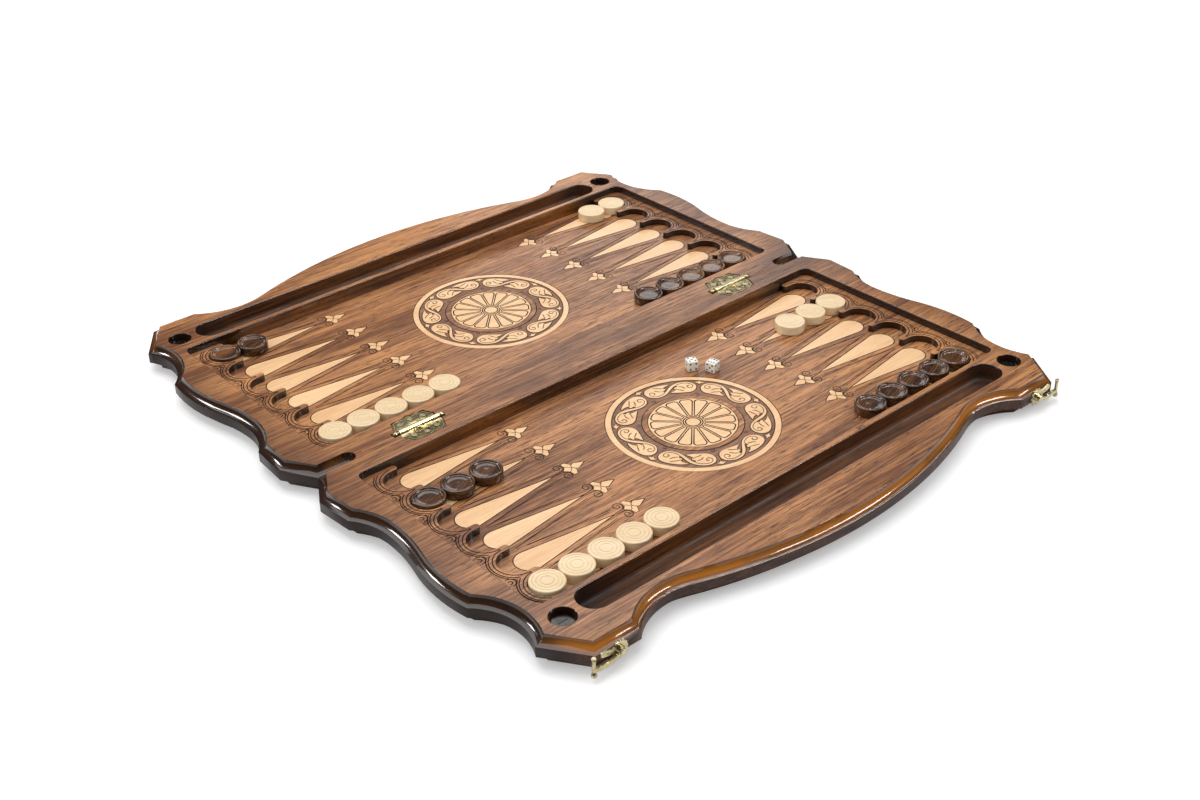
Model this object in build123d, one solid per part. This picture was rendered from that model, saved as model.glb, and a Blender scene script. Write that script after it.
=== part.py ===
from build123d import *
import math
import os

# A folding backgammon board with its checkers and dice, open for play. Sizes are in millimetres.
# X runs along the hinge seam, Y across the two halves and Z up from the table.
# The origin is the middle of the underside of the open board.

# Halves of the case
half_thickness = 25.0
closing_gap = 0.2
seam_clearance = 0.1
top_cove_radius = 7.0
under_cove_radius = 9.0
seam_cove_inset = 9.0

# Playing field
seam_rim_width = 26.0
field_width = 223.0
field_half_length = 263.5
field_corner_radius = 7.0
field_depth = 13.5
band_depth = 7.0
field_edge_radius = 1.0

# Upright outer face of a half, a quarter of it: from the seam, round the end, to the middle of the side.
# An outset is measured outwards from the field's end, an inset inwards from it.
# A rise is measured from the field's long side towards the outside, a fall back from it.
seam_corner_outset = 19.8
shoulder_outset = 37.4
shoulder_y = 29.6
shoulder_end_outset = 34.9
shoulder_end_y = 65.2
waist_outset = 22.7
waist_y = 100.4
end_bulge_outset = 34.6
end_bulge_fall = 65.4
ear_top_outset = 32.2
ear_top_fall = 38.3
ear_hollow_outset = 15.7
ear_hollow_fall = 0.3
ear_low_outset = 23.3
ear_low_rise = 26.8
latch_face_outer_inset = 0.6
latch_face_inner_inset = 42.7
latch_face_rise = 62.0
side_hollow_inset = 82.1
side_hollow_rise = 46.4
side_bulge_rise = 79.8

# Pockets at both ends of the field, one for each point, with rounded cusps between them
points_per_end = 6
pocket_clearance = 1.0
pocket_inset = 28.0
pocket_side_strip = 6.5
cusp_reach = 7.5

# Inlaid points, each a teardrop with a finial beyond its tip
inlay_depth = 1.5
inlay_clearance = 0.05
teardrop_inset = 12.5
teardrop_base_radius = 12.0
teardrop_length = 83.5
finial_gap = 11.7
finial_length = 20.9
finial_leaf_length = 9.0
finial_leaf_half_width = 4.3
finial_neck_length = 10.3
finial_neck_half_width = 2.7
finial_arm_length = 13.8
finial_arm_end_length = 16.9
finial_arm_half_width = 8.9
finial_crotch_length = 17.3
finial_crotch_half_width = 3.6

# Medallion in the middle of each half
medallion_radius = 74.8
medallion_thickness = 2.4
medallion_clearance = 0.05
medallion_rim_width = 6.2
medallion_band_depth = 0.8
medallion_band_inner_radius = 43.5
medallion_ring_width = 5.5
medallion_hub_radius = 6.5
medallion_hub_groove = 1.2

# Trough for captured checkers beside each field
trough_wall = 6.0
trough_width = 26.5
trough_inset = 24.0
trough_depth = 15.5
trough_floor_radius = 5.0
trough_edge_radius = 1.5

# Ring magnets in the wells at the four corners
well_inset = 6.5
well_rise = 21.0
well_radius = 10.0
magnet_top_depth = 4.8
magnet_radius = 7.9
magnet_thickness = 3.0
magnet_bore_radius = 2.3
magnet_countersink_radius = 4.4
magnet_screw_radius = 1.8
magnet_screw_length = 11.0

# Screws
screw_clearance = 0.05
screw_slot_width = 0.7
screw_slot_depth = 0.6
screw_point_length = 1.5

# Butt hinges
hinge_x = 184.0
barrel_radius = 2.8
barrel_length = 40.0
knuckle_count = 5
knuckle_gap = 0.2
hinge_pin_radius = 1.2
hinge_pin_clearance = 0.05
hinge_ball_radius = 2.4
hinge_neck_length = 0.8
leaf_thickness = 1.6
leaf_ear_half_width = 20.5
leaf_ear_y = 7.0
leaf_outer_half_width = 16.0
leaf_shoulder_y = 16.6
leaf_crest_half_width = 5.0
leaf_reach = 18.6
leaf_swing_clearance = 0.3
mortise_clearance = 0.6
barrel_clearance = 0.5
hinge_screw_radius = 1.2
hinge_screw_head_radius = 2.3
hinge_screw_length = 9.0
hinge_screw_x = 11.5
hinge_screw_y = 10.0
hinge_middle_screw_y = 12.6

# Hook latches on the near half, and the studs that they catch on the far half
latch_inset = 22.0
latch_pivot_drop = 12.4
stud_drop = 9.2
latch_plate_thickness = 1.2
rosette_radius = 7.0
plate_tail_reach = 16.0
plate_tail_rise = 4.0
plate_tail_width = 4.6
plate_tip_radius = 1.9
latch_screw_back = 5.3
latch_screw_share = 0.7
latch_screw_radius = 0.7
latch_screw_head_radius = 1.3
latch_screw_length = 9.0
hook_gap = 0.1
hook_eye_radius = 3.6
hook_arm_width = 3.2
hook_sag_reach = 13.0
hook_sag = 3.8
hook_elbow_drop = 3.0
hook_bar_radius = 1.4
hook_bar_rise = 8.0
hook_ball_drop = 7.2
hook_ball_radius = 2.3
catch_clearance = 0.5
catch_side_clearance = 0.3
rivet_radius = 1.5
rivet_clearance = 0.05
rivet_head_radius = 2.8
rivet_head_height = 1.3
rivet_depth = 8.0
stud_radius = 1.8
stud_flange_radius = 3.2
stud_flange_thickness = 1.0
stud_head_radius = 2.6
stud_head_height = 1.6
stud_depth = 9.0

# Checkers
checker_radius = 14.0
checker_thickness = 9.0
checker_gap = 0.35
checker_edge_radius = 1.0
ring_groove_radii = (5.0, 8.2, 11.2)
ring_groove_radius = 0.4
dish_radius = 9.6
dish_depth = 1.6
dish_groove_radius = 11.6

# Stacks of checkers: colour, side of the board, half, which point from the seam, and how many
checker_stacks = (
    ("light", -1, 1, 0, 5),
    ("light", 1, 1, 5, 2),
    ("light", -1, -1, 5, 5),
    ("light", 1, -1, 1, 3),
    ("dark", -1, 1, 5, 2),
    ("dark", 1, 1, 0, 5),
    ("dark", -1, -1, 1, 3),
    ("dark", 1, -1, 5, 5),
)

# Dice, which lie on the near half's floor: top, near and left faces, then place and turn
die_size = 10.0
die_edge_radius = 1.2
pip_radius = 0.95
pip_depth = 0.45
pip_spacing = 2.6
opposite_faces_total = 7
left_die_faces = (5, 4, 1)
left_die_x = 60.8
left_die_y = -73.8
left_die_turn = -26.0
right_die_faces = (6, 4, 5)
right_die_x = 72.5
right_die_y = -88.4
right_die_turn = 13.0

rim_z = half_thickness
floor_z = rim_z - field_depth
band_z = rim_z - band_depth
field_middle_y = seam_rim_width + field_width / 2
field_side_y = seam_rim_width + field_width
pocket_radius = checker_radius + pocket_clearance
pocket_middle_x = field_half_length - pocket_inset
point_pitch = (field_width - 2 * (pocket_side_strip + pocket_radius)) / (points_per_end - 1)
point_ys = [field_middle_y + point_pitch * (n - (points_per_end - 1) / 2) for n in range(points_per_end)]
cusp_ys = [field_middle_y + point_pitch * (n - points_per_end / 2) for n in range(1, points_per_end)]
cusp_radius = point_pitch / 2 - pocket_radius
cusp_tip_x = pocket_middle_x - cusp_reach
teardrop_base_x = pocket_middle_x - teardrop_inset
teardrop_tip_x = teardrop_base_x - teardrop_length
finial_stem_x = teardrop_tip_x - finial_gap
finial_tip_x = finial_stem_x - finial_length
seam_corner_x = field_half_length + seam_corner_outset
latch_face_y = field_side_y + latch_face_rise
latch_face_inner_x = field_half_length - latch_face_inner_inset
latch_x = field_half_length - latch_inset
side_hollow_x = field_half_length - side_hollow_inset
side_hollow_y = field_side_y + side_hollow_rise
side_bulge_y = field_side_y + side_bulge_rise
trough_half_length = field_half_length - trough_inset
trough_y = field_side_y + trough_wall + trough_width / 2
hinge_axis_z = rim_z + closing_gap / 2
leaf_inner_y = barrel_radius + leaf_swing_clearance
ball_x = barrel_length / 2 + hinge_neck_length + hinge_ball_radius
magnet_base_z = rim_z - magnet_top_depth - magnet_thickness
magnet_screw_head_radius = magnet_countersink_radius - 2 * screw_clearance
latch_pivot_z = rim_z - latch_pivot_drop
stud_z = rim_z - stud_drop
hook_thickness = 2 * hook_bar_radius
hook_reach = latch_pivot_drop + closing_gap + stud_drop + stud_radius + catch_clearance + hook_bar_radius
stud_x = latch_x - hook_arm_width / 2 - stud_radius - catch_side_clearance
hook_back = latch_plate_thickness + hook_gap
hook_front = hook_back + hook_thickness


def quarter_edges():
    """Edges of a half's outer face, seen from above, where X and Y are positive."""
    shoulder = (field_half_length + shoulder_outset, shoulder_y)
    shoulder_end = (field_half_length + shoulder_end_outset, shoulder_end_y)
    waist = (field_half_length + waist_outset, waist_y)
    bulge = (field_half_length + end_bulge_outset, field_side_y - end_bulge_fall)
    turn = ((waist[0] + bulge[0]) / 2, (waist[1] + bulge[1]) / 2)
    ear_top = (field_half_length + ear_top_outset, field_side_y - ear_top_fall)
    ear_hollow = (field_half_length + ear_hollow_outset, field_side_y - ear_hollow_fall)
    ear_low = (field_half_length + ear_low_outset, field_side_y + ear_low_rise)
    flat_outer = (field_half_length - latch_face_outer_inset, latch_face_y)
    flat_inner = (latch_face_inner_x, latch_face_y)
    join = side_join()
    return [
        Line((seam_corner_x, 0), shoulder),
        Line(shoulder, shoulder_end),
        TangentArc(waist, shoulder_end, tangent=(0, -1)),
        TangentArc(waist, turn, tangent=(0, 1)),
        TangentArc(bulge, turn, tangent=(0, -1)),
        TangentArc(bulge, ear_top, tangent=(0, 1)),
        ThreePointArc(ear_top, ear_hollow, ear_low),
        Line(ear_low, flat_outer),
        Line(flat_outer, flat_inner),
        ThreePointArc(flat_inner, (side_hollow_x, side_hollow_y), join),
        TangentArc((0, side_bulge_y), join, tangent=(1, 0)),
    ]


def side_join():
    """Where the hollow of the long side runs smoothly into its bulge."""
    rise = latch_face_y - side_hollow_y
    hollow_radius = ((latch_face_inner_x - side_hollow_x) ** 2 + rise**2) / (2 * rise)
    lift = side_hollow_y + hollow_radius - side_bulge_y
    bulge_radius = (lift**2 + side_hollow_x**2 - hollow_radius**2) / (2 * (hollow_radius - lift))
    share = bulge_radius / (bulge_radius + hollow_radius)
    bulge_middle_y = side_bulge_y - bulge_radius
    return (share * side_hollow_x, bulge_middle_y + share * (lift + bulge_radius))


def outer_edges():
    right = quarter_edges()
    return right + [mirror(edge, about=Plane.YZ) for edge in right]


def pipe(edge, radius):
    section = Plane(origin=edge @ 0, z_dir=edge % 0) * Circle(radius)
    return sweep(section, path=edge)


def cove_tools(level, radius):
    """Round-nosed cuts along the outer face's edge at one level."""
    return [pipe(Pos(0, 0, level) * edge, radius) for edge in outer_edges()]


def seam_cove_tools():
    """Round-ended cuts that carry the upper moulding a little way along the seam."""
    start = field_half_length - seam_cove_inset
    length = seam_corner_x - start
    tools = []
    for side in (-1, 1):
        middle_x = side * (start + length / 2)
        tools.append(Pos(middle_x, 0, rim_z) * Rot(0, 90, 0) * Cylinder(top_cove_radius, length))
        tools.append(Pos(side * start, 0, rim_z) * Sphere(top_cove_radius))
    return tools


def block(sketch, low, high):
    return Pos(0, 0, low) * extrude(sketch, amount=high - low)


def floor_outline():
    """The field's floor: straight between the cusps, with a round pocket at both ends of every point."""
    strip_ys = [seam_rim_width + pocket_side_strip / 2, field_side_y - pocket_side_strip / 2]
    floor = Pos(0, field_middle_y) * Rectangle(2 * (cusp_tip_x + cusp_radius), field_width)
    throat = pocket_middle_x - cusp_tip_x - cusp_radius
    for side in (-1, 1):
        for y in cusp_ys:
            floor -= Pos(side * (cusp_tip_x + cusp_radius), y) * Circle(cusp_radius)
        for y in strip_ys:
            floor -= Pos(side * (cusp_tip_x + pocket_side_strip / 2), y) * Circle(pocket_side_strip / 2)
            floor -= Pos(side * (cusp_tip_x + pocket_side_strip), y) * Rectangle(pocket_side_strip, pocket_side_strip)
        for y in point_ys:
            floor += Pos(side * pocket_middle_x, y) * Circle(pocket_radius)
            floor += Pos(side * (pocket_middle_x - throat / 2), y) * Rectangle(throat, 2 * pocket_radius)
    return floor


def field_tools():
    upper = RectangleRounded(2 * field_half_length, field_width, field_corner_radius)
    upper_cut = block(Pos(0, field_middle_y) * upper, band_z, rim_z + top_cove_radius)
    return [upper_cut, block(floor_outline(), floor_z, rim_z)]


def trough_tool():
    slot = SlotOverall(2 * trough_half_length, trough_width)
    cut = block(Pos(0, trough_y) * slot, rim_z - trough_depth, rim_z + trough_edge_radius)
    return fillet(cut.faces().sort_by(Axis.Z)[0].edges(), trough_floor_radius)


def teardrop():
    """One inlaid point's outline at Y = 0, with its tip towards the board's middle."""
    span = teardrop_base_x - teardrop_tip_x
    touch_x = teardrop_base_x - teardrop_base_radius**2 / span
    touch_y = teardrop_base_radius * math.sqrt(1 - (teardrop_base_radius / span) ** 2)
    tip = (teardrop_tip_x, 0)
    base = (teardrop_base_x + teardrop_base_radius, 0)
    arc = ThreePointArc((touch_x, touch_y), base, (touch_x, -touch_y))
    return make_face([Line(tip, (touch_x, touch_y)), arc, Line((touch_x, -touch_y), tip)])


def finial():
    """The leaf and crosspiece beyond a point's tip, at Y = 0."""
    upper = [
        (finial_tip_x + finial_leaf_length, finial_leaf_half_width),
        (finial_tip_x + finial_neck_length, finial_neck_half_width),
        (finial_tip_x + finial_arm_length, finial_arm_half_width),
        (finial_tip_x + finial_arm_end_length, finial_arm_half_width),
        (finial_tip_x + finial_crotch_length, finial_crotch_half_width),
    ]
    lower = [(x, -y) for x, y in reversed(upper)]
    return make_face(Polyline((finial_tip_x, 0), *upper, (finial_stem_x, 0), *lower, close=True))


def point_solids(side, grown=0.0):
    """The points and finials at one end of the far half, or the cuts that they lie in."""
    solids = []
    for face in (teardrop(), finial()):
        if grown:
            face = offset(face, amount=grown, kind=Kind.ARC)
        if side < 0:
            face = mirror(face, about=Plane.YZ)
        solids += [block(Pos(0, y) * face, floor_z - inlay_depth, floor_z) for y in point_ys]
    return solids


def turned(profile):
    """A solid turned about Z from (radius, height) corners."""
    return revolve(make_face(Polyline(*[(r, 0, z) for r, z in profile], close=True)), axis=Axis.Z)


def medallion():
    """The far half's turned disc: rim level with the floor, a band for carving, a ring and a rosette."""
    low = floor_z - medallion_thickness
    band = floor_z - medallion_band_depth
    slope = medallion_band_depth / 2
    rim_inner = medallion_radius - medallion_rim_width
    ring_inner = medallion_band_inner_radius - medallion_ring_width
    hub_outer = medallion_hub_radius + medallion_hub_groove
    profile = [
        (0, low),
        (medallion_radius, low),
        (medallion_radius, floor_z),
        (rim_inner, floor_z),
        (rim_inner - slope, band),
        (medallion_band_inner_radius, band),
        (medallion_band_inner_radius - slope, floor_z),
        (ring_inner + slope, floor_z),
        (ring_inner, band),
        (ring_inner - slope, floor_z),
        (hub_outer, floor_z),
        (hub_outer - medallion_hub_groove / 2, band),
        (medallion_hub_radius, floor_z),
        (0, floor_z),
    ]
    return Pos(0, field_middle_y) * turned(profile)


def screw_profile(radius, head_radius, length, grown):
    return [
        (0, 0),
        (head_radius + grown, 0),
        (radius + grown, radius - head_radius - grown),
        (radius + grown, screw_point_length - length),
        (0, -length - grown),
    ]


def screw(radius, head_radius, length):
    """A slotted countersunk screw, with the flat of its head at the origin and its point down."""
    slot = Box(2 * head_radius + screw_slot_width, screw_slot_width, 2 * screw_slot_depth)
    return turned(screw_profile(radius, head_radius, length, 0)) - slot


def screw_hole(radius, head_radius, length):
    return turned(screw_profile(radius, head_radius, length, screw_clearance))


def magnet():
    """A countersunk ring magnet standing on the origin."""
    profile = [
        (magnet_bore_radius, 0),
        (magnet_radius, 0),
        (magnet_radius, magnet_thickness),
        (magnet_countersink_radius, magnet_thickness),
        (magnet_bore_radius, magnet_thickness - magnet_countersink_radius + magnet_bore_radius),
    ]
    return turned(profile)


def well_places():
    well_x = field_half_length - well_inset
    return [Pos(side * well_x, field_side_y + well_rise, magnet_base_z) for side in (-1, 1)]


def magnet_screw_places():
    return [place * Pos(0, 0, magnet_thickness) for place in well_places()]


def leaf_outline():
    """A hinge leaf on the far half, with the barrel's axis along Y = 0."""
    right = [
        (barrel_length / 2, leaf_inner_y),
        (leaf_ear_half_width, leaf_ear_y),
        (leaf_outer_half_width, leaf_shoulder_y),
        (leaf_crest_half_width, leaf_shoulder_y),
        (0, leaf_reach),
    ]
    left = [(-x, y) for x, y in reversed(right[:-1])]
    return make_face(Polyline(*right, *left, close=True))


def lengthwise(radius, start, end):
    """A round bar along a hinge's axis, from one X to another."""
    return Pos((start + end) / 2, 0, hinge_axis_z) * Rot(0, 90, 0) * Cylinder(radius, end - start)


def knuckle_spans(first):
    """Start and end of every second knuckle."""
    length = (barrel_length - (knuckle_count - 1) * knuckle_gap) / knuckle_count
    starts = [n * (length + knuckle_gap) - barrel_length / 2 for n in range(first, knuckle_count, 2)]
    return [(start, start + length) for start in starts]


def hinge_screw_places():
    spots = [(-hinge_screw_x, hinge_screw_y), (0, hinge_middle_screw_y), (hinge_screw_x, hinge_screw_y)]
    return [Pos(x, y, rim_z) for x, y in spots]


def hinge_leaf(first_knuckle):
    """A leaf lying on the far half, with every second knuckle of the barrel."""
    leaf = block(leaf_outline(), rim_z - leaf_thickness, rim_z)
    tongue_reach = leaf_inner_y + leaf_swing_clearance
    for start, end in knuckle_spans(first_knuckle):
        tongue = Box(end - start, tongue_reach, leaf_thickness)
        leaf += Pos((start + end) / 2, tongue_reach / 2, rim_z - leaf_thickness / 2) * tongue
        leaf += lengthwise(barrel_radius, start, end)
    leaf -= lengthwise(hinge_pin_radius + hinge_pin_clearance, -barrel_length, barrel_length)
    hole = screw_hole(hinge_screw_radius, hinge_screw_head_radius, hinge_screw_length)
    return leaf.cut(*[place * hole for place in hinge_screw_places()])


def hinge_pin():
    """The pin through the knuckles, with a ball on each end."""
    pin = lengthwise(hinge_pin_radius, -ball_x, ball_x)
    return pin.fuse(*[Pos(side * ball_x, 0, hinge_axis_z) * Sphere(hinge_ball_radius) for side in (-1, 1)])


def hinge_tools():
    """Cuts in the far half for one hinge: mortise, barrel channel and screw holes."""
    grown = offset(leaf_outline(), amount=mortise_clearance, kind=Kind.INTERSECTION)
    mouth = Rectangle(barrel_length + 2 * mortise_clearance, 2 * leaf_inner_y)
    channel_end = ball_x + hinge_ball_radius + barrel_clearance
    hole = screw_hole(hinge_screw_radius, hinge_screw_head_radius, hinge_screw_length)
    return [
        block(grown, rim_z - leaf_thickness, rim_z + leaf_thickness),
        block(mouth, rim_z - leaf_thickness, rim_z + leaf_thickness),
        lengthwise(barrel_radius + barrel_clearance, -channel_end, channel_end),
        *[place * hole for place in hinge_screw_places()],
    ]


def plain_half():
    """The far half of the case, without the bores for its latches."""
    case = extrude(make_face(outer_edges() + [Line((-seam_corner_x, 0), (seam_corner_x, 0))]), half_thickness)
    case = case.cut(*cove_tools(rim_z, top_cove_radius), *seam_cove_tools())
    case = case.cut(*cove_tools(0, under_cove_radius))
    seam = Box(4 * seam_corner_x, 2 * seam_clearance, 4 * half_thickness)
    well = Cylinder(well_radius, half_thickness, align=(Align.CENTER, Align.CENTER, Align.MIN))
    case = case.cut(seam, *field_tools(), trough_tool(), *[place * well for place in well_places()])
    case = eased(case)
    magnet_hole = screw_hole(magnet_screw_radius, magnet_screw_head_radius, magnet_screw_length)
    tools = [place * magnet_hole for place in magnet_screw_places()]
    for side in (-1, 1):
        tools += [Pos(side * hinge_x, 0) * tool for tool in hinge_tools()]
        tools += point_solids(side, inlay_clearance)
    seat = Cylinder(medallion_radius + medallion_clearance, 2 * medallion_thickness)
    return case.cut(*tools, Pos(0, field_middle_y, floor_z) * seat)


def eased(case):
    """Rounds the rims of the trough, the field and the wells."""
    rim = case.faces().filter_by(Axis.Z).sort_by(Axis.Z)[-1]
    loops = [wire.edges() for wire in rim.inner_wires()]
    trough_low_y = trough_y - trough_width / 2
    in_trough = [abs(loop.sort_by(Axis.Y)[0].center().Y - trough_low_y) < seam_clearance for loop in loops]
    trough_edges = [edge for loop, inside in zip(loops, in_trough) if inside for edge in loop]
    other_edges = [edge for loop, inside in zip(loops, in_trough) if not inside for edge in loop]
    case = case.fillet(trough_edge_radius, trough_edges)
    return case.fillet(field_edge_radius, other_edges)


def latch_frame(inner):
    """Stands a latch piece on the near half's side: X to the corner, Y up, Z out of the face."""
    return Plane(origin=(latch_x, -latch_face_y, latch_pivot_z), x_dir=(1, 0, 0), z_dir=(0, -1, 0)) * inner


def both_sides(right):
    return [mirror(right, about=Plane.YZ), right]


def upright(radius, low, high):
    return Pos(0, 0, low) * Cylinder(radius, high - low, align=(Align.CENTER, Align.CENTER, Align.MIN))


def latch_screw_places():
    along = latch_screw_share * plate_tail_reach
    rise = latch_screw_share * plate_tail_rise
    return [Pos(-latch_screw_back, 0, latch_plate_thickness), Pos(along, rise, latch_plate_thickness)]


def latch_screw_shape():
    return screw(latch_screw_radius, latch_screw_head_radius, latch_screw_length)


def latch_screw_tools():
    hole = screw_hole(latch_screw_radius, latch_screw_head_radius, latch_screw_length)
    return [place * hole for place in latch_screw_places()]


def latch_plate():
    """The round base of a latch, with a tail towards the corner that ends in a disc."""
    tail_length = math.hypot(plate_tail_reach, plate_tail_rise)
    tail_angle = math.degrees(math.atan2(plate_tail_rise, plate_tail_reach))
    plate = upright(rosette_radius, 0, latch_plate_thickness)
    tail = Box(tail_length, plate_tail_width, latch_plate_thickness)
    plate += Rot(0, 0, tail_angle) * Pos(tail_length / 2, 0, latch_plate_thickness / 2) * tail
    plate += Pos(plate_tail_reach, plate_tail_rise) * upright(plate_tip_radius, 0, latch_plate_thickness)
    plate = plate.cut(upright(rivet_radius + rivet_clearance, -rivet_depth, rivet_depth), *latch_screw_tools())
    return plate


def latch_hook():
    """The eye, the sagging arm and the crossbar with its ball, as the hook lies at rest."""
    middle = (hook_back + hook_front) / 2
    low = (hook_sag_reach, -hook_sag, middle)
    section = Rectangle(hook_arm_width, hook_thickness)
    hook = upright(hook_eye_radius, hook_back, hook_front)
    for end in ((0, 0, middle), (hook_reach, -hook_elbow_drop, middle)):
        heading = 1 if end[0] > hook_sag_reach else -1
        path = TangentArc(low, end, tangent=(heading, 0, 0))
        hook += sweep(Plane(origin=low, x_dir=(0, 1, 0), z_dir=(heading, 0, 0)) * section, path=path)
    bar_length = hook_bar_rise + hook_ball_drop
    bar_middle = Pos(hook_reach, (hook_bar_rise - hook_ball_drop) / 2, middle)
    bar = bar_middle * Rot(90, 0, 0) * Cylinder(hook_bar_radius, bar_length)
    ball = Pos(hook_reach, -hook_ball_drop, middle) * Sphere(hook_ball_radius)
    hook = hook.fuse(bar, ball)
    return hook - upright(rivet_radius + rivet_clearance, -rivet_depth, 2 * hook_front)


def rivet():
    head_back = hook_front + hook_gap
    pin = upright(rivet_radius, -rivet_depth, head_back)
    head = upright(rivet_head_radius, head_back, head_back + rivet_head_height)
    return pin + fillet(head.edges().group_by(Axis.Z)[-1], rivet_head_height / 2)


def catch_stud():
    """A stud on the far half's side, with Z out of the face."""
    head_back = hook_front + hook_gap
    stud = upright(stud_radius, -stud_depth, head_back)
    stud += upright(stud_flange_radius, 0, stud_flange_thickness)
    head = upright(stud_head_radius, head_back, head_back + stud_head_height)
    return stud + fillet(head.edges().group_by(Axis.Z)[-1], stud_head_height / 2)


def stud_frame(inner):
    return Plane(origin=(stud_x, latch_face_y, stud_z), x_dir=(-1, 0, 0), z_dir=(0, 1, 0)) * inner


def far_board():
    bore = stud_frame(upright(stud_radius + screw_clearance, -stud_depth, stud_depth))
    return plain_half().cut(*both_sides(bore))


def near_board():
    """The near half, with bores for the rivets and the small screws of the latches."""
    bore = upright(rivet_radius + rivet_clearance, -rivet_depth, rivet_depth)
    tools = [latch_frame(tool) for tool in (bore, *latch_screw_tools())]
    return near(plain_half()).cut(*[shape for tool in tools for shape in both_sides(tool)])


def near(shape):
    """The near half's mirror image of a piece of the far half."""
    return mirror(shape, about=Plane.XZ)


def light_checker():
    """A flat checker standing on the origin, with fine turned rings on both faces."""
    body = upright(checker_radius, 0, checker_thickness)
    body = fillet(body.edges().filter_by(GeomType.CIRCLE), checker_edge_radius)
    levels = (0, checker_thickness)
    return body.cut(*[Pos(0, 0, z) * Torus(r, ring_groove_radius) for r in ring_groove_radii for z in levels])


def dark_checker():
    """A dished checker standing on the origin, with a raised rim on both faces."""
    body = upright(checker_radius, 0, checker_thickness)
    body = fillet(body.edges().filter_by(GeomType.CIRCLE), checker_edge_radius)
    ball_radius = (dish_radius**2 + dish_depth**2) / (2 * dish_depth)
    ball_offset = ball_radius - dish_depth
    tools = [Pos(0, 0, z) * Sphere(ball_radius) for z in (-ball_offset, checker_thickness + ball_offset)]
    tools += [Pos(0, 0, z) * Torus(dish_groove_radius, ring_groove_radius) for z in (0, checker_thickness)]
    return body.cut(*tools)


def checker_places(colour):
    """Where the checkers of one colour lie, with the half of each, stack by stack from the pockets."""
    places = []
    for stack_colour, side, half, point, count in checker_stacks:
        if stack_colour == colour:
            for n in range(count):
                x = side * (pocket_middle_x - n * (2 * checker_radius + checker_gap))
                places.append(Pos(x, half * point_ys[point], floor_z))
    return places


def pip_spots(count):
    s = pip_spacing
    spots = [(0, 0)] if count % 2 else []
    spots += [(-s, s), (s, -s)] if count > 1 else []
    spots += [(s, s), (-s, -s)] if count > 3 else []
    return spots + ([(-s, 0), (s, 0)] if count > 5 else [])


def die(faces, turn):
    """A die standing on the origin, from the counts on its top, near and left faces."""
    top, front, left = faces
    reach = die_size / 2
    ball_radius = (pip_radius**2 + pip_depth**2) / (2 * pip_depth)
    body = fillet(Box(die_size, die_size, die_size).edges(), die_edge_radius)
    sides = [
        (top, Plane.XY.offset(reach)),
        (opposite_faces_total - top, Plane(origin=(0, 0, -reach), x_dir=(1, 0, 0), z_dir=(0, 0, -1))),
        (front, Plane(origin=(0, -reach, 0), x_dir=(1, 0, 0), z_dir=(0, -1, 0))),
        (opposite_faces_total - front, Plane(origin=(0, reach, 0), x_dir=(-1, 0, 0), z_dir=(0, 1, 0))),
        (left, Plane(origin=(-reach, 0, 0), x_dir=(0, -1, 0), z_dir=(-1, 0, 0))),
        (opposite_faces_total - left, Plane(origin=(reach, 0, 0), x_dir=(0, 1, 0), z_dir=(1, 0, 0))),
    ]
    pips = []
    for count, plane in sides:
        for x, y in pip_spots(count):
            pips.append(plane * Pos(x, y, ball_radius - pip_depth) * Sphere(ball_radius))
    return Pos(0, 0, reach) * Rot(0, 0, turn) * body.cut(*pips)


def save(shape, name):
    """Writes one piece, or several separate solids that share a name."""
    if isinstance(shape, list):
        shape = Compound([solid for item in shape for solid in item.solids()])
    export_step(shape, f"parts/{name}.step")


def save_fittings(half, turn):
    """The inlays, magnets and hinge leaves of one half, and all their screws."""
    for side, side_name in ((-1, "left"), (1, "right")):
        save([turn(solid) for solid in point_solids(side)], f"{half}_point_inlays_{side_name}")
        leaf = hinge_leaf(0 if half == "far" else 1)
        save(turn(Pos(side * hinge_x, 0) * leaf), f"hinge_leaf_{half}_{side_name}")
    save(turn(medallion()), f"{half}_medallion")
    save([turn(place * magnet()) for place in well_places()], f"ring_magnets_{half}")
    magnet_screw = screw(magnet_screw_radius, magnet_screw_head_radius, magnet_screw_length)
    save([turn(place * magnet_screw) for place in magnet_screw_places()], f"magnet_screws_{half}")
    hinge_screw = screw(hinge_screw_radius, hinge_screw_head_radius, hinge_screw_length)
    places = [Pos(side * hinge_x, 0) * place for side in (-1, 1) for place in hinge_screw_places()]
    save([turn(place * hinge_screw) for place in places], f"hinge_screws_{half}")


def save_latches():
    rivets = both_sides(latch_frame(rivet()))
    screws = [both_sides(latch_frame(place * latch_screw_shape())) for place in latch_screw_places()]
    plates = both_sides(latch_frame(latch_plate()))
    hooks = both_sides(latch_frame(latch_hook()))
    studs = both_sides(stud_frame(catch_stud()))
    save(rivets, "latch_rivets")
    save([item for pair in screws for item in pair], "latch_plate_screws")
    for n, side_name in enumerate(("left", "right")):
        save(plates[n], f"latch_plate_{side_name}")
        save(hooks[n], f"latch_hook_{side_name}")
        save(studs[n], f"catch_stud_{side_name}")
        side = 1 if side_name == "right" else -1
        save(Pos(side * hinge_x, 0) * hinge_pin(), f"hinge_pin_{side_name}")


os.makedirs("parts", exist_ok=True)
save(far_board(), "far_board")
save(near_board(), "near_board")
save_fittings("far", lambda shape: shape)
save_fittings("near", near)
save_latches()
for number, place in enumerate(checker_places("light"), 1):
    save(place * light_checker(), f"light_checker_{number:02d}")
for number, place in enumerate(checker_places("dark"), 1):
    save(place * dark_checker(), f"dark_checker_{number:02d}")
save(Pos(left_die_x, left_die_y, floor_z) * die(left_die_faces, left_die_turn), "die_left")
save(Pos(right_die_x, right_die_y, floor_z) * die(right_die_faces, right_die_turn), "die_right")
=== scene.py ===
import math
import bpy
import bmesh
from mathutils import Matrix, Vector


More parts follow.
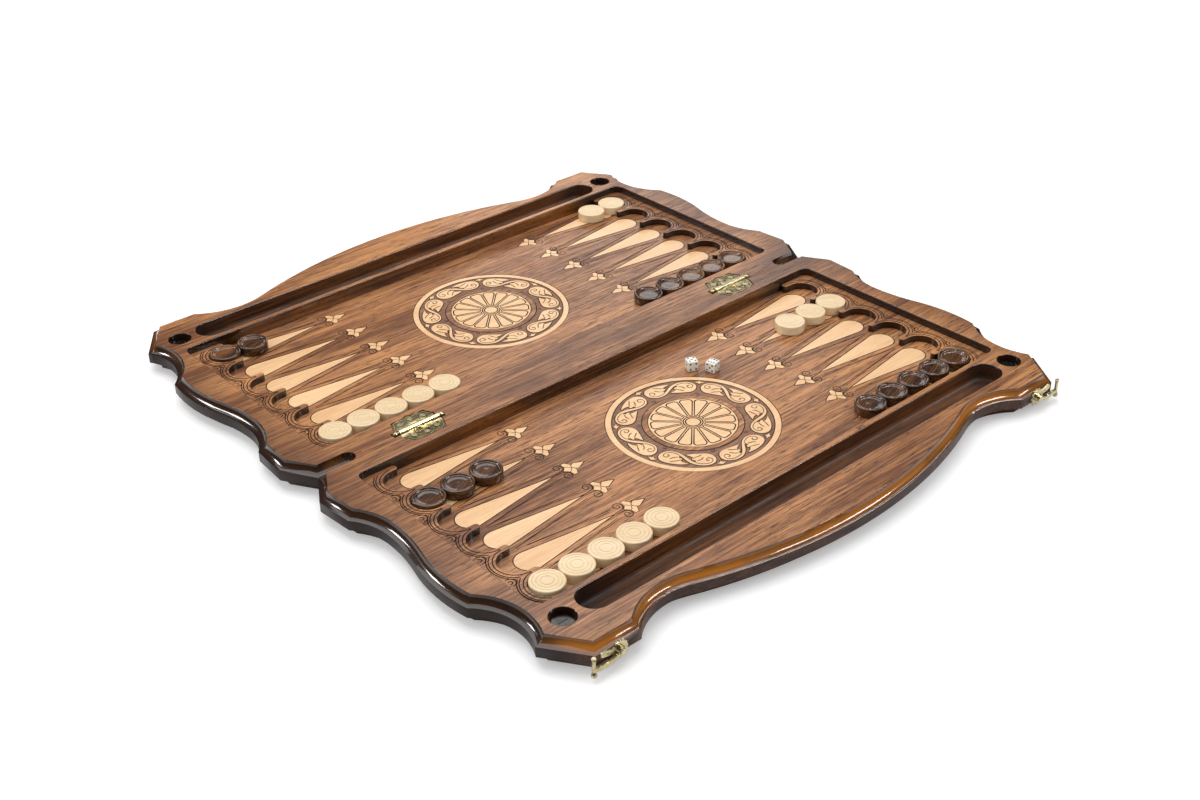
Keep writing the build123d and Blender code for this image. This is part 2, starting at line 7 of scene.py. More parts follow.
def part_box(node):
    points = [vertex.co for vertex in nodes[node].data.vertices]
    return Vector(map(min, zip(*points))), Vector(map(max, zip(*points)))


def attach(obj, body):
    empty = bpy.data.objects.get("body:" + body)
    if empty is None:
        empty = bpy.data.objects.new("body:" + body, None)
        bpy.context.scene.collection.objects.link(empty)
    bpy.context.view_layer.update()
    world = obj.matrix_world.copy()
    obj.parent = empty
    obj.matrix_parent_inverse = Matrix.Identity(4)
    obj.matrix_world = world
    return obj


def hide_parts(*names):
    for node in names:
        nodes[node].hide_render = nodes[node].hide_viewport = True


# The frame is in metres. Shapes are given in millimetres; materials, lamps and the camera in metres.
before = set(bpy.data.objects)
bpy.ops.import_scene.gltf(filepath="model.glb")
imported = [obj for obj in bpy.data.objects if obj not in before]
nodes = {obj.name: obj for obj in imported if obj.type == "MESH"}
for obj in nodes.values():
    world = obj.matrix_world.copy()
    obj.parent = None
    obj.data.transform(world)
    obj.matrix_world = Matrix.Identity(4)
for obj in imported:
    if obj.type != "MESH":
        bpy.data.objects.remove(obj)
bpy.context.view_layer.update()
scene = bpy.context.scene
mm = 0.001
weldGap = 1e-6  # metres, for points that are one
seamGap = 0.3  # millimetres from the plane between the halves, for faces on the seam

# Shared shader groups


def newGroup(name, inputs, outputs):
    group = bpy.data.node_groups.new(name, "ShaderNodeTree")
    for label, kind, default in inputs:
        socket = group.interface.new_socket(name=label, in_out="INPUT", socket_type=kind)
        if default is not None:
            socket.default_value = default
    for label, kind in outputs:
        group.interface.new_socket(name=label, in_out="OUTPUT", socket_type=kind)
    return group, group.nodes.new("NodeGroupInput"), group.nodes.new("NodeGroupOutput")


def addNode(tree, kind, **settings):
    node = tree.nodes.new(kind)
    for key, value in settings.items():
        setattr(node, key, value)
    return node


def mathNode(tree, operation, first, second=None):
    node = addNode(tree, "ShaderNodeMath", operation=operation)
    for slotIndex, value in enumerate((first, second)):
        if value is None:
            continue
        if isinstance(value, (int, float)):
            node.inputs[slotIndex].default_value = value
        else:
            tree.links.new(value, node.inputs[slotIndex])
    return node.outputs[0]


def colourMix(tree, factor, first, second):
    node = addNode(tree, "ShaderNodeMix", data_type="RGBA")
    for socket, value in ((node.inputs[0], factor), (node.inputs[6], first), (node.inputs[7], second)):
        if isinstance(value, (int, float)):
            socket.default_value = value
        elif isinstance(value, tuple):
            socket.default_value = (*value, 1.0)
        else:
            tree.links.new(value, socket)
    return node.outputs[2]


def noise(tree, vector, scale, detail, roughness=0.5, distortion=0.0):
    node = addNode(tree, "ShaderNodeTexNoise")
    node.inputs["Scale"].default_value = scale
    node.inputs["Detail"].default_value = detail
    node.inputs["Roughness"].default_value = roughness
    node.inputs["Distortion"].default_value = distortion
    tree.links.new(vector, node.inputs["Vector"])
    return node.outputs["Fac"]


def stretch(tree, vector, scale):
    node = addNode(tree, "ShaderNodeMapping")
    node.inputs["Scale"].default_value = scale
    tree.links.new(vector, node.inputs["Vector"])
    return node.outputs[0]


def ramp(tree, value, low, high):
    node = addNode(tree, "ShaderNodeMapRange")
    node.inputs["From Min"].default_value = low
    node.inputs["From Max"].default_value = high
    tree.links.new(value, node.inputs["Value"])
    return node.outputs[0]


def axisOf(tree, coords, axis):
    node = addNode(tree, "ShaderNodeSeparateXYZ")
    tree.links.new(coords, node.inputs[0])
    return node.outputs[axis]


# Grain runs along X: broad figure, narrow streaks and short open pores
grainValues = {
    "figure": (2.2, 16.0, 16.0), "streaks": (11.0, 430.0, 430.0), "pores": (60.0, 900.0, 900.0),
    "share": 0.5, "bodyLevels": (0.41, 0.59), "poreLevels": (0.55, 0.65), "streakHeight": 0.35,
}


def buildGrainGroup(values):
    group, inner, outer = newGroup(
        "woodGrain",
        [("Vector", "NodeSocketVector", None),
         ("Light", "NodeSocketColor", (0.5, 0.3, 0.2, 1)),
         ("Dark", "NodeSocketColor", (0.2, 0.1, 0.05, 1)),
         ("Pore", "NodeSocketColor", (0.05, 0.02, 0.01, 1)),
         ("Pore Amount", "NodeSocketFloat", 0.6)],
        [("Color", "NodeSocketColor"), ("Height", "NodeSocketFloat")])
    vector = inner.outputs["Vector"]
    broad = noise(group, stretch(group, vector, values["figure"]), 1.0, 4.0, 0.55, 1.2)
    streak = noise(group, stretch(group, vector, values["streaks"]), 1.0, 3.0, 0.65, 0.3)
    pores = noise(group, stretch(group, vector, values["pores"]), 1.0, 2.0, 0.6)
    broadShare = mathNode(group, "MULTIPLY", broad, values["share"])
    figure = mathNode(group, "ADD", broadShare, mathNode(group, "MULTIPLY", streak, 1 - values["share"]))
    level = ramp(group, figure, *values["bodyLevels"])
    body = colourMix(group, level, inner.outputs["Dark"], inner.outputs["Light"])
    openPores = ramp(group, pores, *values["poreLevels"])
    poreMask = mathNode(group, "MULTIPLY", openPores, inner.outputs["Pore Amount"])
    group.links.new(colourMix(group, poreMask, body, inner.outputs["Pore"]), outer.inputs["Color"])
    ripple = mathNode(group, "MULTIPLY", streak, values["streakHeight"])
    group.links.new(mathNode(group, "SUBTRACT", ripple, poreMask), outer.inputs["Height"])
    return group


# Hand wear and polish: a soft cloudy mask that moves roughness and tone a little
handlingValues = {"scale": 26.0, "levels": (0.35, 0.65)}


def buildHandlingGroup(values):
    group, inner, outer = newGroup(
        "handling",
        [("Vector", "NodeSocketVector", None),
         ("Low", "NodeSocketFloat", 0.2),
         ("High", "NodeSocketFloat", 0.35)],
        [("Roughness", "NodeSocketFloat"), ("Mask", "NodeSocketFloat")])
    cloud = noise(group, inner.outputs["Vector"], values["scale"], 5.0, 0.6)
    mask = ramp(group, cloud, *values["levels"])
    span = mathNode(group, "SUBTRACT", inner.outputs["High"], inner.outputs["Low"])
    roughness = mathNode(group, "ADD", mathNode(group, "MULTIPLY", span, mask), inner.outputs["Low"])
    group.links.new(roughness, outer.inputs["Roughness"])
    group.links.new(mask, outer.inputs["Mask"])
    return group


grainGroup = buildGrainGroup(grainValues)
handlingGroup = buildHandlingGroup(handlingValues)


def startMaterial(name):
    material = bpy.data.materials.new(name)
    material.use_nodes = True
    tree = material.node_tree
    shader = tree.nodes["Principled BSDF"]
    coords = addNode(tree, "ShaderNodeTexCoord").outputs["Object"]
    return material, tree, shader, coords


def useBump(tree, shader, height, strength, distance):
    bump = addNode(tree, "ShaderNodeBump")
    bump.inputs["Strength"].default_value = strength
    bump.inputs["Distance"].default_value = distance
    tree.links.new(height, bump.inputs["Height"])
    tree.links.new(bump.outputs[0], shader.inputs["Normal"])


def addHandling(tree, shader, coords, low, high):
    wear = addNode(tree, "ShaderNodeGroup", node_tree=handlingGroup)
    tree.links.new(coords, wear.inputs["Vector"])
    wear.inputs["Low"].default_value = low
    wear.inputs["High"].default_value = high
    tree.links.new(wear.outputs["Roughness"], shader.inputs["Roughness"])
    return wear.outputs["Mask"]


# Patches that the painted light on the moulding and the stain along the seam come in
patchValues = {
    "detail": 3.0, "paintedCoveLightScale": 14.0, "paintedCoveLightLevels": (0.22, 0.50),
    "seamReach": (0.034, 0.016), "seamStretch": (6.0, 22.0, 22.0), "seamLevels": (0.36, 0.58),
}


# Painted light: orange on the lower part of the cove, which faces up to the light, between the foot of the
# moulding and its ridge
def addPaintedCoveLight(tree, coords, tone, values):
    height = axisOf(tree, coords, "Z")
    rise = ramp(tree, height, *values["paintedCoveLightLevels"])
    rise = mathNode(tree, "MULTIPLY", rise, ramp(tree, height, *values["paintedCoveLightFoot"]))
    cloud = noise(tree, coords, patchValues["paintedCoveLightScale"], patchValues["detail"])
    patchy = mathNode(tree, "MULTIPLY", rise, ramp(tree, cloud, *patchValues["paintedCoveLightLevels"]))
    return colourMix(tree, mathNode(tree, "MULTIPLY", patchy, values["paintedCoveLightAmount"]), tone, values["paintedCoveLight"])


# Dark stain along the seam between the halves
def addSeamStain(tree, coords, tone, values):
    across = mathNode(tree, "ABSOLUTE", axisOf(tree, coords, "Y"))
    seam = ramp(tree, across, *patchValues["seamReach"])
    cloud = noise(tree, stretch(tree, coords, patchValues["seamStretch"]), 1.0, patchValues["detail"])
    patchy = mathNode(tree, "MULTIPLY", seam, ramp(tree, cloud, *patchValues["seamLevels"]))
    stain = mathNode(tree, "MULTIPLY", patchy, values["seamStain"])
    return colourMix(tree, stain, tone, values["toneAndShadeColour"])


# Darker towards the ends, which fades out round the bends where a fade is given: dark toning of the wood on
# the rim tops, painted shade on the outer end faces, on the walls round the pockets and at the ends of the
# trough, and simply darker on the coves at the ends
def addEndToneAndShade(tree, coords, tone, values):
    along = mathNode(tree, "ABSOLUTE", axisOf(tree, coords, "X"))
    ends = ramp(tree, along, *values["endToneAndShadeReach"])
    if "endToneAndShadeFade" in values:
        across = mathNode(tree, "ABSOLUTE", axisOf(tree, coords, "Y"))
        ends = mathNode(tree, "MULTIPLY", ends, ramp(tree, across, *values["endToneAndShadeFade"]))
    return colourMix(tree, mathNode(tree, "MULTIPLY", ends, values["endToneAndShade"]), tone, values["toneAndShadeColour"])


plainWood = {"fineness": 1.0, "cloud": 0.18, "specular": 0.5, "bumpDepth": 0.0003}


def woodMaterial(name, look):
    values = {**plainWood, **look}
    material, tree, shader, coords = startMaterial(name)
    if "turn" in values:
        turn = addNode(tree, "ShaderNodeMapping")
        turn.inputs["Rotation"].default_value = (0, 0, math.radians(values["turn"]))
        tree.links.new(coords, turn.inputs["Vector"])
        coords = turn.outputs[0]
    grain = addNode(tree, "ShaderNodeGroup", node_tree=grainGroup)
    tree.links.new(stretch(tree, coords, (values["fineness"],) * 3), grain.inputs["Vector"])
    for label in ("Light", "Dark", "Pore"):
        grain.inputs[label].default_value = (*values[label.lower()], 1)
    grain.inputs["Pore Amount"].default_value = values["poreAmount"]
    mask = addHandling(tree, shader, coords, *values["roughness"])
    cloud = mathNode(tree, "MULTIPLY", mask, values["cloud"])
    tone = colourMix(tree, cloud, grain.outputs["Color"], values["dark"])
    if "paintedCoveLight" in values:
        tone = addPaintedCoveLight(tree, coords, tone, values)
    if "seamStain" in values:
        tone = addSeamStain(tree, coords, tone, values)
    if "endToneAndShade" in values:
        tone = addEndToneAndShade(tree, coords, tone, values)
    tree.links.new(tone, shader.inputs["Base Color"])
    shader.inputs["Coat Weight"].default_value = values["coat"]
    shader.inputs["Coat Roughness"].default_value = values["coatRoughness"]
    shader.inputs["Specular IOR Level"].default_value = values["specular"]
    useBump(tree, shader, grain.outputs["Height"], values["bump"], values["bumpDepth"])
    return material


woodLooks = {
    "walnutFlat": {
        "light": (0.60, 0.274, 0.106), "dark": (0.165, 0.058, 0.021), "pore": (0.040, 0.012, 0.004),
        "poreAmount": 0.8, "roughness": (0.26, 0.38), "bump": 0.45,
        "coat": 0.25, "coatRoughness": 0.16, "specular": 0.35, "seamStain": 0.7,
        "endToneAndShade": 0.62, "endToneAndShadeReach": (0.255, 0.292), "toneAndShadeColour": (0.085, 0.030, 0.012)},
    "walnutLacquer": {
        "light": (0.110, 0.036, 0.010), "dark": (0.020, 0.007, 0.003), "pore": (0.008, 0.003, 0.002),
        "poreAmount": 0.5, "roughness": (0.18, 0.26), "bump": 0.10,
        "coat": 0.8, "coatRoughness": 0.03, "specular": 0.2,
        # painted light: orange on the lower part of the cove
        "paintedCoveLight": (0.44, 0.150, 0.015), "paintedCoveLightAmount": 0.92, "paintedCoveLightLevels": (0.0262, 0.0205),
        "paintedCoveLightFoot": (0.0176, 0.0196), "endToneAndShade": 0.95, "endToneAndShadeReach": (0.256, 0.276),
        "endToneAndShadeFade": (0.302, 0.272), "toneAndShadeColour": (0.013, 0.005, 0.003)},
    # walls: the darkening at the ends is painted shade round the pockets
    "walnutWall": {
        "light": (0.270, 0.090, 0.012), "dark": (0.040, 0.011, 0.002), "pore": (0.010, 0.003, 0.002),
        "poreAmount": 0.6, "roughness": (0.22, 0.32), "bump": 0.15,
        "coat": 0.6, "coatRoughness": 0.04, "specular": 0.2, "cloud": 0.4,
        "endToneAndShade": 0.92, "endToneAndShadeReach": (0.195, 0.222), "toneAndShadeColour": (0.014, 0.005, 0.003)},
    # trough: the darkening at its ends is painted shade
    "walnutDeep": {
        "light": (0.190, 0.066, 0.016), "dark": (0.042, 0.013, 0.004), "pore": (0.012, 0.005, 0.003),
        "poreAmount": 0.6, "roughness": (0.45, 0.60), "bump": 0.2,
        "coat": 0.0, "coatRoughness": 0.2, "specular": 0.3,
        "endToneAndShade": 0.7, "endToneAndShadeReach": (0.200, 0.226), "toneAndShadeColour": (0.020, 0.008, 0.005)},
    # outer faces: the darkening at the ends is painted shade on the end faces
    "walnutSide": {
        "light": (0.100, 0.046, 0.028), "dark": (0.034, 0.016, 0.011), "pore": (0.010, 0.006, 0.004),
        "poreAmount": 0.5, "roughness": (0.28, 0.40), "bump": 0.12,
        "coat": 0.08, "coatRoughness": 0.10, "specular": 0.2, "endToneAndShade": 0.9, "endToneAndShadeReach": (0.250, 0.272),
        "endToneAndShadeFade": (0.311, 0.292), "toneAndShadeColour": (0.012, 0.006, 0.005)},
    "walnutUnder": {
        "light": (0.25, 0.13, 0.075), "dark": (0.12, 0.06, 0.034), "pore": (0.04, 0.018, 0.010),
        "poreAmount": 0.7, "roughness": (0.45, 0.6), "bump": 0.3,
        "coat": 0.1, "coatRoughness": 0.3},
    # Painted shade: near-black walls for the carved lines, the dark ring round the foot of the medallion's
    # raised shapes and the plate seen in the gap round the medallion
    "paintedGrooveShade": {
        "light": (0.030, 0.010, 0.004), "dark": (0.010, 0.004, 0.002), "pore": (0.006, 0.003, 0.002),
        "poreAmount": 0.4, "roughness": (0.55, 0.7), "bump": 0.2,
        "coat": 0.0, "coatRoughness": 0.3, "specular": 0.2},
    "medallionGround": {
        "light": (0.34, 0.150, 0.068), "dark": (0.150, 0.060, 0.026), "pore": (0.04, 0.015, 0.007),
        "poreAmount": 0.6, "fineness": 1.2, "roughness": (0.4, 0.5), "bump": 0.3,
        "coat": 0.1, "coatRoughness": 0.3},
    "mapleInlay": {
        "light": (0.92, 0.61, 0.335), "dark": (0.76, 0.44, 0.21), "pore": (0.55, 0.30, 0.14),
        "poreAmount": 0.35, "fineness": 1.4, "roughness": (0.28, 0.36), "bump": 0.15,
        "coat": 0.3, "coatRoughness": 0.2, "cloud": 0.25},
    "lightChecker": {
        "light": (0.86, 0.69, 0.45), "dark": (0.76, 0.56, 0.32), "pore": (0.58, 0.40, 0.21),
        "poreAmount": 0.3, "fineness": 2.0, "roughness": (0.30, 0.40), "bump": 0.15,
        "coat": 0.3, "coatRoughness": 0.2, "turn": 35, "cloud": 0.3},
    "darkChecker": {
        "light": (0.210, 0.082, 0.024), "dark": (0.026, 0.009, 0.004), "pore": (0.010, 0.005, 0.003),
        "poreAmount": 0.6, "fineness": 2.0, "roughness": (0.16, 0.24), "bump": 0.12,
        "coat": 0.8, "coatRoughness": 0.04, "specular": 0.3, "turn": -20, "cloud": 0.5},
}
wood = {name: woodMaterial(name, values) for name, values in woodLooks.items()}
print("wood finishes made")

# Antique brass, darker in blotches and, where levels are given, down in the recesses
brassValues = {
    "bright": (0.70, 0.61, 0.38), "dull": (0.30, 0.24, 0.12), "deep": (0.22, 0.18, 0.095),
    "roughness": (0.24, 0.42), "tarnish": 0.65, "spotScale": 420.0, "spotLevels": (0.42, 0.68),
    "leastStain": 0.35, "recess": (0.02478, 0.02430), "bump": 0.2, "bumpDepth": 0.0001,
}


def brassMaterial(name, values, recess=None):
    material, tree, shader, coords = startMaterial(name)
    mask = addHandling(tree, shader, coords, *values["roughness"])
    spots = ramp(tree, noise(tree, coords, values["spotScale"], 4.0, 0.65), *values["spotLevels"])
    blotch = mathNode(tree, "MULTIPLY", spots, values["tarnish"])
    stain = mathNode(tree, "MULTIPLY", blotch, mathNode(tree, "ADD", mask, values["leastStain"]))
    tone = colourMix(tree, stain, values["bright"], values["dull"])
    if recess:
        tone = colourMix(tree, ramp(tree, axisOf(tree, coords, "Z"), *recess), tone, values["deep"])
    tree.links.new(tone, shader.inputs["Base Color"])
    shader.inputs["Metallic"].default_value = 1.0
    useBump(tree, shader, spots, values["bump"], values["bumpDepth"])
    return material


# Painted shade: the nickel of the magnets is near-black for the shade at the bottom of the wells
shadedNickelValues = {
    "bright": (0.10, 0.097, 0.088), "dull": (0.030, 0.028, 0.025), "roughness": (0.18, 0.3),
    "grain": 900.0, "bump": 0.1, "bumpDepth": 0.0001,
}


def shadedNickelMaterial(values):
    material, tree, shader, coords = startMaterial("shadedNickelPlate")
    mask = addHandling(tree, shader, coords, *values["roughness"])
    tree.links.new(colourMix(tree, mask, values["bright"], values["dull"]), shader.inputs["Base Color"])
    shader.inputs["Metallic"].default_value = 1.0
    useBump(tree, shader, noise(tree, coords, values["grain"], 2.0), values["bump"], values["bumpDepth"])
    return material


# A die is white, and black wherever its surface lies below one of its flat faces
diceValues = {
    "turns": {"die_left": -26.0, "die_right": 13.0}, "flat": 4.96, "pipReach": 3.75,
    "white": (0.86, 0.85, 0.79), "ivory": (0.80, 0.77, 0.66), "pip": (0.012, 0.012, 0.014),
    "roughness": (0.12, 0.2), "coat": 0.5,
}


def middleOf(node):
    low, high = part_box(node)
    return [(a + b) / 2 for a, b in zip(low, high)]


def diceMaterial(node):
    v = diceValues
    material, tree, shader, coords = startMaterial("dice" + node.split("_")[1].capitalize())
    local = addNode(tree, "ShaderNodeMapping", vector_type="TEXTURE")
    local.inputs["Location"].default_value = middleOf(node)
    local.inputs["Rotation"].default_value = (0, 0, math.radians(v["turns"][node]))
    tree.links.new(coords, local.inputs["Vector"])
    x, y, z = [mathNode(tree, "ABSOLUTE", axisOf(tree, local.outputs[0], axis)) for axis in ("X", "Y", "Z")]
    highest = mathNode(tree, "MAXIMUM", mathNode(tree, "MAXIMUM", x, y), z)
    lowest = mathNode(tree, "MINIMUM", mathNode(tree, "MINIMUM", x, y), z)
    total = mathNode(tree, "ADD", mathNode(tree, "ADD", x, y), z)
    second = mathNode(tree, "SUBTRACT", mathNode(tree, "SUBTRACT", total, highest), lowest)
    below = mathNode(tree, "LESS_THAN", highest, v["flat"] * mm)
    inside = mathNode(tree, "LESS_THAN", second, v["pipReach"] * mm)
    mask = addHandling(tree, shader, coords, *v["roughness"])
    base = colourMix(tree, mask, v["white"], v["ivory"])
    pips = mathNode(tree, "MULTIPLY", below, inside)
    tree.links.new(colourMix(tree, pips, base, v["pip"]), shader.inputs["Base Color"])
    shader.inputs["Coat Weight"].default_value = v["coat"]
    return material


brass = brassMaterial("antiqueBrass", brassValues)
reliefBrass = brassMaterial("antiqueBrassRelief", brassValues, brassValues["recess"])
shadedNickel = shadedNickelMaterial(shadedNickelValues)


def paint(node, material):
    target = nodes[node]
    target.data.materials.clear()
    target.data.materials.append(material)


for nodeName in nodes:
    if "inlays" in nodeName or "medallion" in nodeName:
        paint(nodeName, wood["mapleInlay"])
    elif nodeName.startswith("light_checker"):
        paint(nodeName, wood["lightChecker"])
    elif nodeName.startswith("dark_checker"):
        paint(nodeName, wood["darkChecker"])
    elif "magnet" in nodeName:
        paint(nodeName, shadedNickel)
    elif nodeName.startswith("die_"):
        paint(nodeName, diceMaterial(nodeName))
    elif "board" not in nodeName:
        paint(nodeName, brass)
print("carried-over nodes painted")

# Helpers for carved and raised work


# The mesh of a curve, made once and kept on its own
def evaluatedMesh(data):
    holder = bpy.data.objects.new("work", data)
    scene.collection.objects.link(holder)
    bpy.context.view_layer.update()
    mesh = bpy.data.meshes.new_from_object(holder.evaluated_get(bpy.context.evaluated_depsgraph_get()))
    bpy.data.objects.remove(holder)
    return mesh


def addSplines(curve, strokes, closed):
    for stroke in strokes:
        spline = curve.splines.new("POLY")
        spline.points.add(len(stroke) - 1)
        for point, values in zip(spline.points, stroke):
            point.co = (values[0] * mm, values[1] * mm, 0, 1)
            point.radius = values[2] if len(values) > 2 else 1
        spline.use_cyclic_u = closed


# Tubes along lists of (x, y, width factor), in millimetres, flattened about their own level
def strokeMesh(strokes, radius, level, flatten=1.0, closed=False):
    curve = bpy.data.curves.new("strokes", "CURVE")
    curve.dimensions = "3D"
    curve.bevel_depth = radius * mm
    curve.bevel_resolution = 1
    curve.use_fill_caps = not closed
    addSplines(curve, strokes, closed)
    mesh = evaluatedMesh(curve)
    mesh.transform(Matrix.Translation((0, 0, level * mm)) @ Matrix.Diagonal((1, 1, flatten, 1)))
    return mesh


# Flat shapes from lists of (x, y), in millimetres, between two heights, with eased edges
def filledMesh(outlines, low, high, ease):
    curve = bpy.data.curves.new("shapes", "CURVE")
    curve.dimensions = "2D"
    curve.fill_mode = "BOTH"
    curve.extrude = ((high - low) / 2 - ease) * mm
    curve.bevel_depth = ease * mm
    curve.bevel_resolution = 1
    curve.offset = -ease * mm
    addSplines(curve, outlines, True)
    mesh = evaluatedMesh(curve)
    mesh.transform(Matrix.Translation((0, 0, (high + low) / 2 * mm)))
    return mesh


def painted(mesh, material):
    mesh.materials.clear()
    mesh.materials.append(material)
    return mesh


# The mesh with the cutter's tubes taken out of it, their walls in the material given
def engrave(mesh, cutMesh, material):
    piece = bpy.data.objects.new("engraveWork", mesh)
    cutter = bpy.data.objects.new("engraveTool", painted(cutMesh.copy(), material))
    scene.collection.objects.link(piece)
    scene.collection.objects.link(cutter)
    carve = piece.modifiers.new("carve", "BOOLEAN")
    carve.operation = "DIFFERENCE"
    carve.solver = "EXACT"
    carve.use_self = True
    carve.material_mode = "TRANSFER"
    carve.object = cutter
    bpy.context.view_layer.update()
    carved = bpy.data.meshes.new_from_object(piece.evaluated_get(bpy.context.evaluated_depsgraph_get()))
    bpy.data.objects.remove(piece)
    bpy.data.objects.remove(cutter)
    return carved


# One mesh from several, each keeping its own materials, with doubled points merged
def joined(meshes):
    bm = bmesh.new()
    materials = []
    for mesh in meshes:
        start = len(bm.faces)
        bm.from_mesh(mesh)
        bm.faces.ensure_lookup_table()
        for face in bm.faces[start:]:
            material = mesh.materials[face.material_index]
            if material not in materials:
                materials.append(material)
            face.material_index = materials.index(material)
    bmesh.ops.remove_doubles(bm, verts=bm.verts, dist=weldGap)
    result = bpy.data.meshes.new("joined")
    bm.to_mesh(result)
    bm.free()
    for material in materials:
        result.materials.append(material)
    return result


# A copy turned over across the planes given by a scale of 1 or -1 per axis
def mirroredMesh(mesh, axes):
    copy = mesh.copy()
    copy.transform(Matrix.Diagonal((*axes, 1)))
    if math.prod(axes) < 0:
        copy.flip_normals()
    return copy


# Makes a mesh a piece of the part: flat faces stay flat, the rest is smooth up to sharp edges
finishValues = {"sharpAngle": 32, "flatNormal": 0.9995}


def finishPiece(name, mesh, body, replaced):
    flat = finishValues["flatNormal"]
    mesh.shade_smooth()
    mesh.set_sharp_from_angle(angle=math.radians(finishValues["sharpAngle"]))
    for face in mesh.polygons:
        onSeam = abs(face.center.y) < seamGap * mm and abs(face.normal.y) > flat
        if abs(face.normal.z) > flat or onSeam:
            face.use_smooth = False
    mesh.name = name
    piece = bpy.data.objects.new(name, mesh)
    scene.collection.objects.link(piece)
    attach(piece, body)
    if replaced:
        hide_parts(*replaced)


# A node's mesh as an editable copy with its doubled points merged
def mergedCopy(node):
    bm = bmesh.new()
    bm.from_mesh(nodes[node].data)
    bmesh.ops.remove_doubles(bm, verts=bm.verts, dist=2 * weldGap)
    return bm


def arcPoints(cx, cy, radius, start, end, steps, width=1.0):
    points = []
    for n in range(steps + 1):
        angle = math.radians(start + (end - start) * n / steps)
        points.append((cx + radius * math.cos(angle), cy + radius * math.sin(angle), width))
    return points


def shifted(strokes, dx, dy, flipX=1, flipY=1):
    return [[(x * flipX + dx, y * flipY + dy, *rest) for x, y, *rest in stroke] for stroke in strokes]


# Carving is drawn for the far half, and mirrored for the near one
def onHalf(mesh, half):
    return mirroredMesh(mesh, (1, -1, 1)) if half == "near" else mesh


# Carved lines on the boards
boardValues = {
    "floor": 11.5, "band": 18.0, "fieldMiddle": 137.5, "pitch": 36.0, "points": 6,
    "line": 0.52, "fineLine": 0.36, "lift": 0.10,
    "veeTop": (136.0, 6.6), "veeFoot": (221.0, 17.2), "veeGap": 1.5, "veeSlip": (3.0, 9.0),
    "outlineGap": 0.2, "dropTip": 139.5, "dropBase": 223.0, "dropRadius": 12.0, "tipReach": 2.0,
    "curlMiddle": (129.6, 6.5), "curlRadius": 5.2, "curlStart": 262, "curlTurn": 21, "curlSteps": 25,
    "curlShrink": 0.031, "curlSquash": 0.92, "curlThin": 0.012,
    "pocketX": 235.5, "pocketRings": (17.4, 20.4, 22.2), "ringGap": 0.6,
    "beadX": 255.4, "beadRadius": 4.6, "beadTurn": 1.9,
}

# One side of a finial: its outline, the fold of its leaves and the cup under them
finialOutline = [
    (106.0, 0), (111.3, 2.7), (115.9, 4.6), (117.3, 3.0), (120.6, 9.2), (124.1, 9.2), (124.5, 3.8),
    (128.2, 0.2),
]
finialFold = [(115.4, 4.4, 0.7), (118.4, 2.7, 0.8), (119.8, 0, 0.7)]
finialCup = [(119.6, 0, 0.8), (121.4, 1.3, 1.0), (122.6, 3.4, 1.0), (124.5, 4.0, 0.8)]


def pointYs():
    middle, pitch, count = [boardValues[key] for key in ("fieldMiddle", "pitch", "points")]
    return [middle + pitch * (n - (count - 1) / 2) for n in range(count)]


# Closed line round an inlaid teardrop, at Y = 0
def dropOutline():
    v = boardValues
    lean = math.degrees(math.asin(v["dropRadius"] / (v["dropBase"] - v["dropTip"])))
    base = arcPoints(v["dropBase"], 0, v["dropRadius"] + v["outlineGap"], 90 + lean, -90 - lean, 22)
    tip = (v["dropTip"] - v["tipReach"], 0, 0.9)
    return [tip] + base + [tip]


# The scroll beside a finial, from the stem round to its middle, for Y positive
def curlStroke():
    v = boardValues
    cx, cy = v["curlMiddle"]
    points = [(137.0, 0.7, 0.7), (132.5, 1.0, 0.9)]
    for n in range(v["curlSteps"]):
        angle = math.radians(v["curlStart"] - n * v["curlTurn"])
        radius = v["curlRadius"] * (1 - v["curlShrink"] * n)
        x = cx + v["curlSquash"] * radius * math.cos(angle)
        points.append((x, cy + radius * math.sin(angle), 1.0 - v["curlThin"] * n))
    return points


# Thick and fine carved lines of one point, for X positive and Y = 0
def pointStrokes():
    v = boardValues
    (topX, topY), (footX, footY) = v["veeTop"], v["veeFoot"]
    thick, fine = [dropOutline()], []
    for side in (-1, 1):
        for n, gap in enumerate((0, v["veeGap"])):
            start = (topX + v["veeSlip"][0] * n, side * (topY - gap), 1.0)
            end = (footX - v["veeSlip"][1] * n, side * (footY - gap), 1.0)
            fine.append([start, end])
        thick.append([(x, side * y, width) for x, y, width in curlStroke()])
        thick.append([(x, side * y, 0.85) for x, y in finialOutline])
        thick.append([(x, side * y, width) for x, y, width in finialFold])
        fine.append([(x, side * y, width) for x, y, width in finialCup])
    return thick, fine


# Carved arcs round one pocket, for X positive and Y = 0
def bandStrokes():
    v = boardValues
    lines = []
    for radius in v["pocketRings"]:
        reach = math.degrees(math.asin(min(1.0, (v["pitch"] / 2 - v["ringGap"]) / radius)))
        lines.append(arcPoints(v["pocketX"], 0, radius, -reach, reach, 24))
    return lines


# The bead between two pockets: an open ring with a smaller turn inside it
def beadStrokes():
    v = boardValues
    ring = arcPoints(v["beadX"], 0, v["beadRadius"], 80, 280, 14)
    return [ring, arcPoints(v["beadX"], 0, v["beadTurn"], 60, 300, 10)]


def carvingTools():
    v = boardValues
    thick, fine, band = [], [], []
    for flip in (-1, 1):
        for y in pointYs():
            pointThick, pointFine = pointStrokes()
            thick += shifted(pointThick, 0, y, flip)
            fine += shifted(pointFine, 0, y, flip)
            band += shifted(bandStrokes(), 0, y, flip)
        for y in pointYs()[1:]:
            band += shifted(beadStrokes(), 0, y - v["pitch"] / 2, flip)
    return [
        strokeMesh(thick, v["line"], v["floor"] + v["lift"]),
        strokeMesh(fine, v["fineLine"], v["floor"] + v["lift"]),
        strokeMesh(band, v["line"], v["band"] + v["lift"]),
    ]


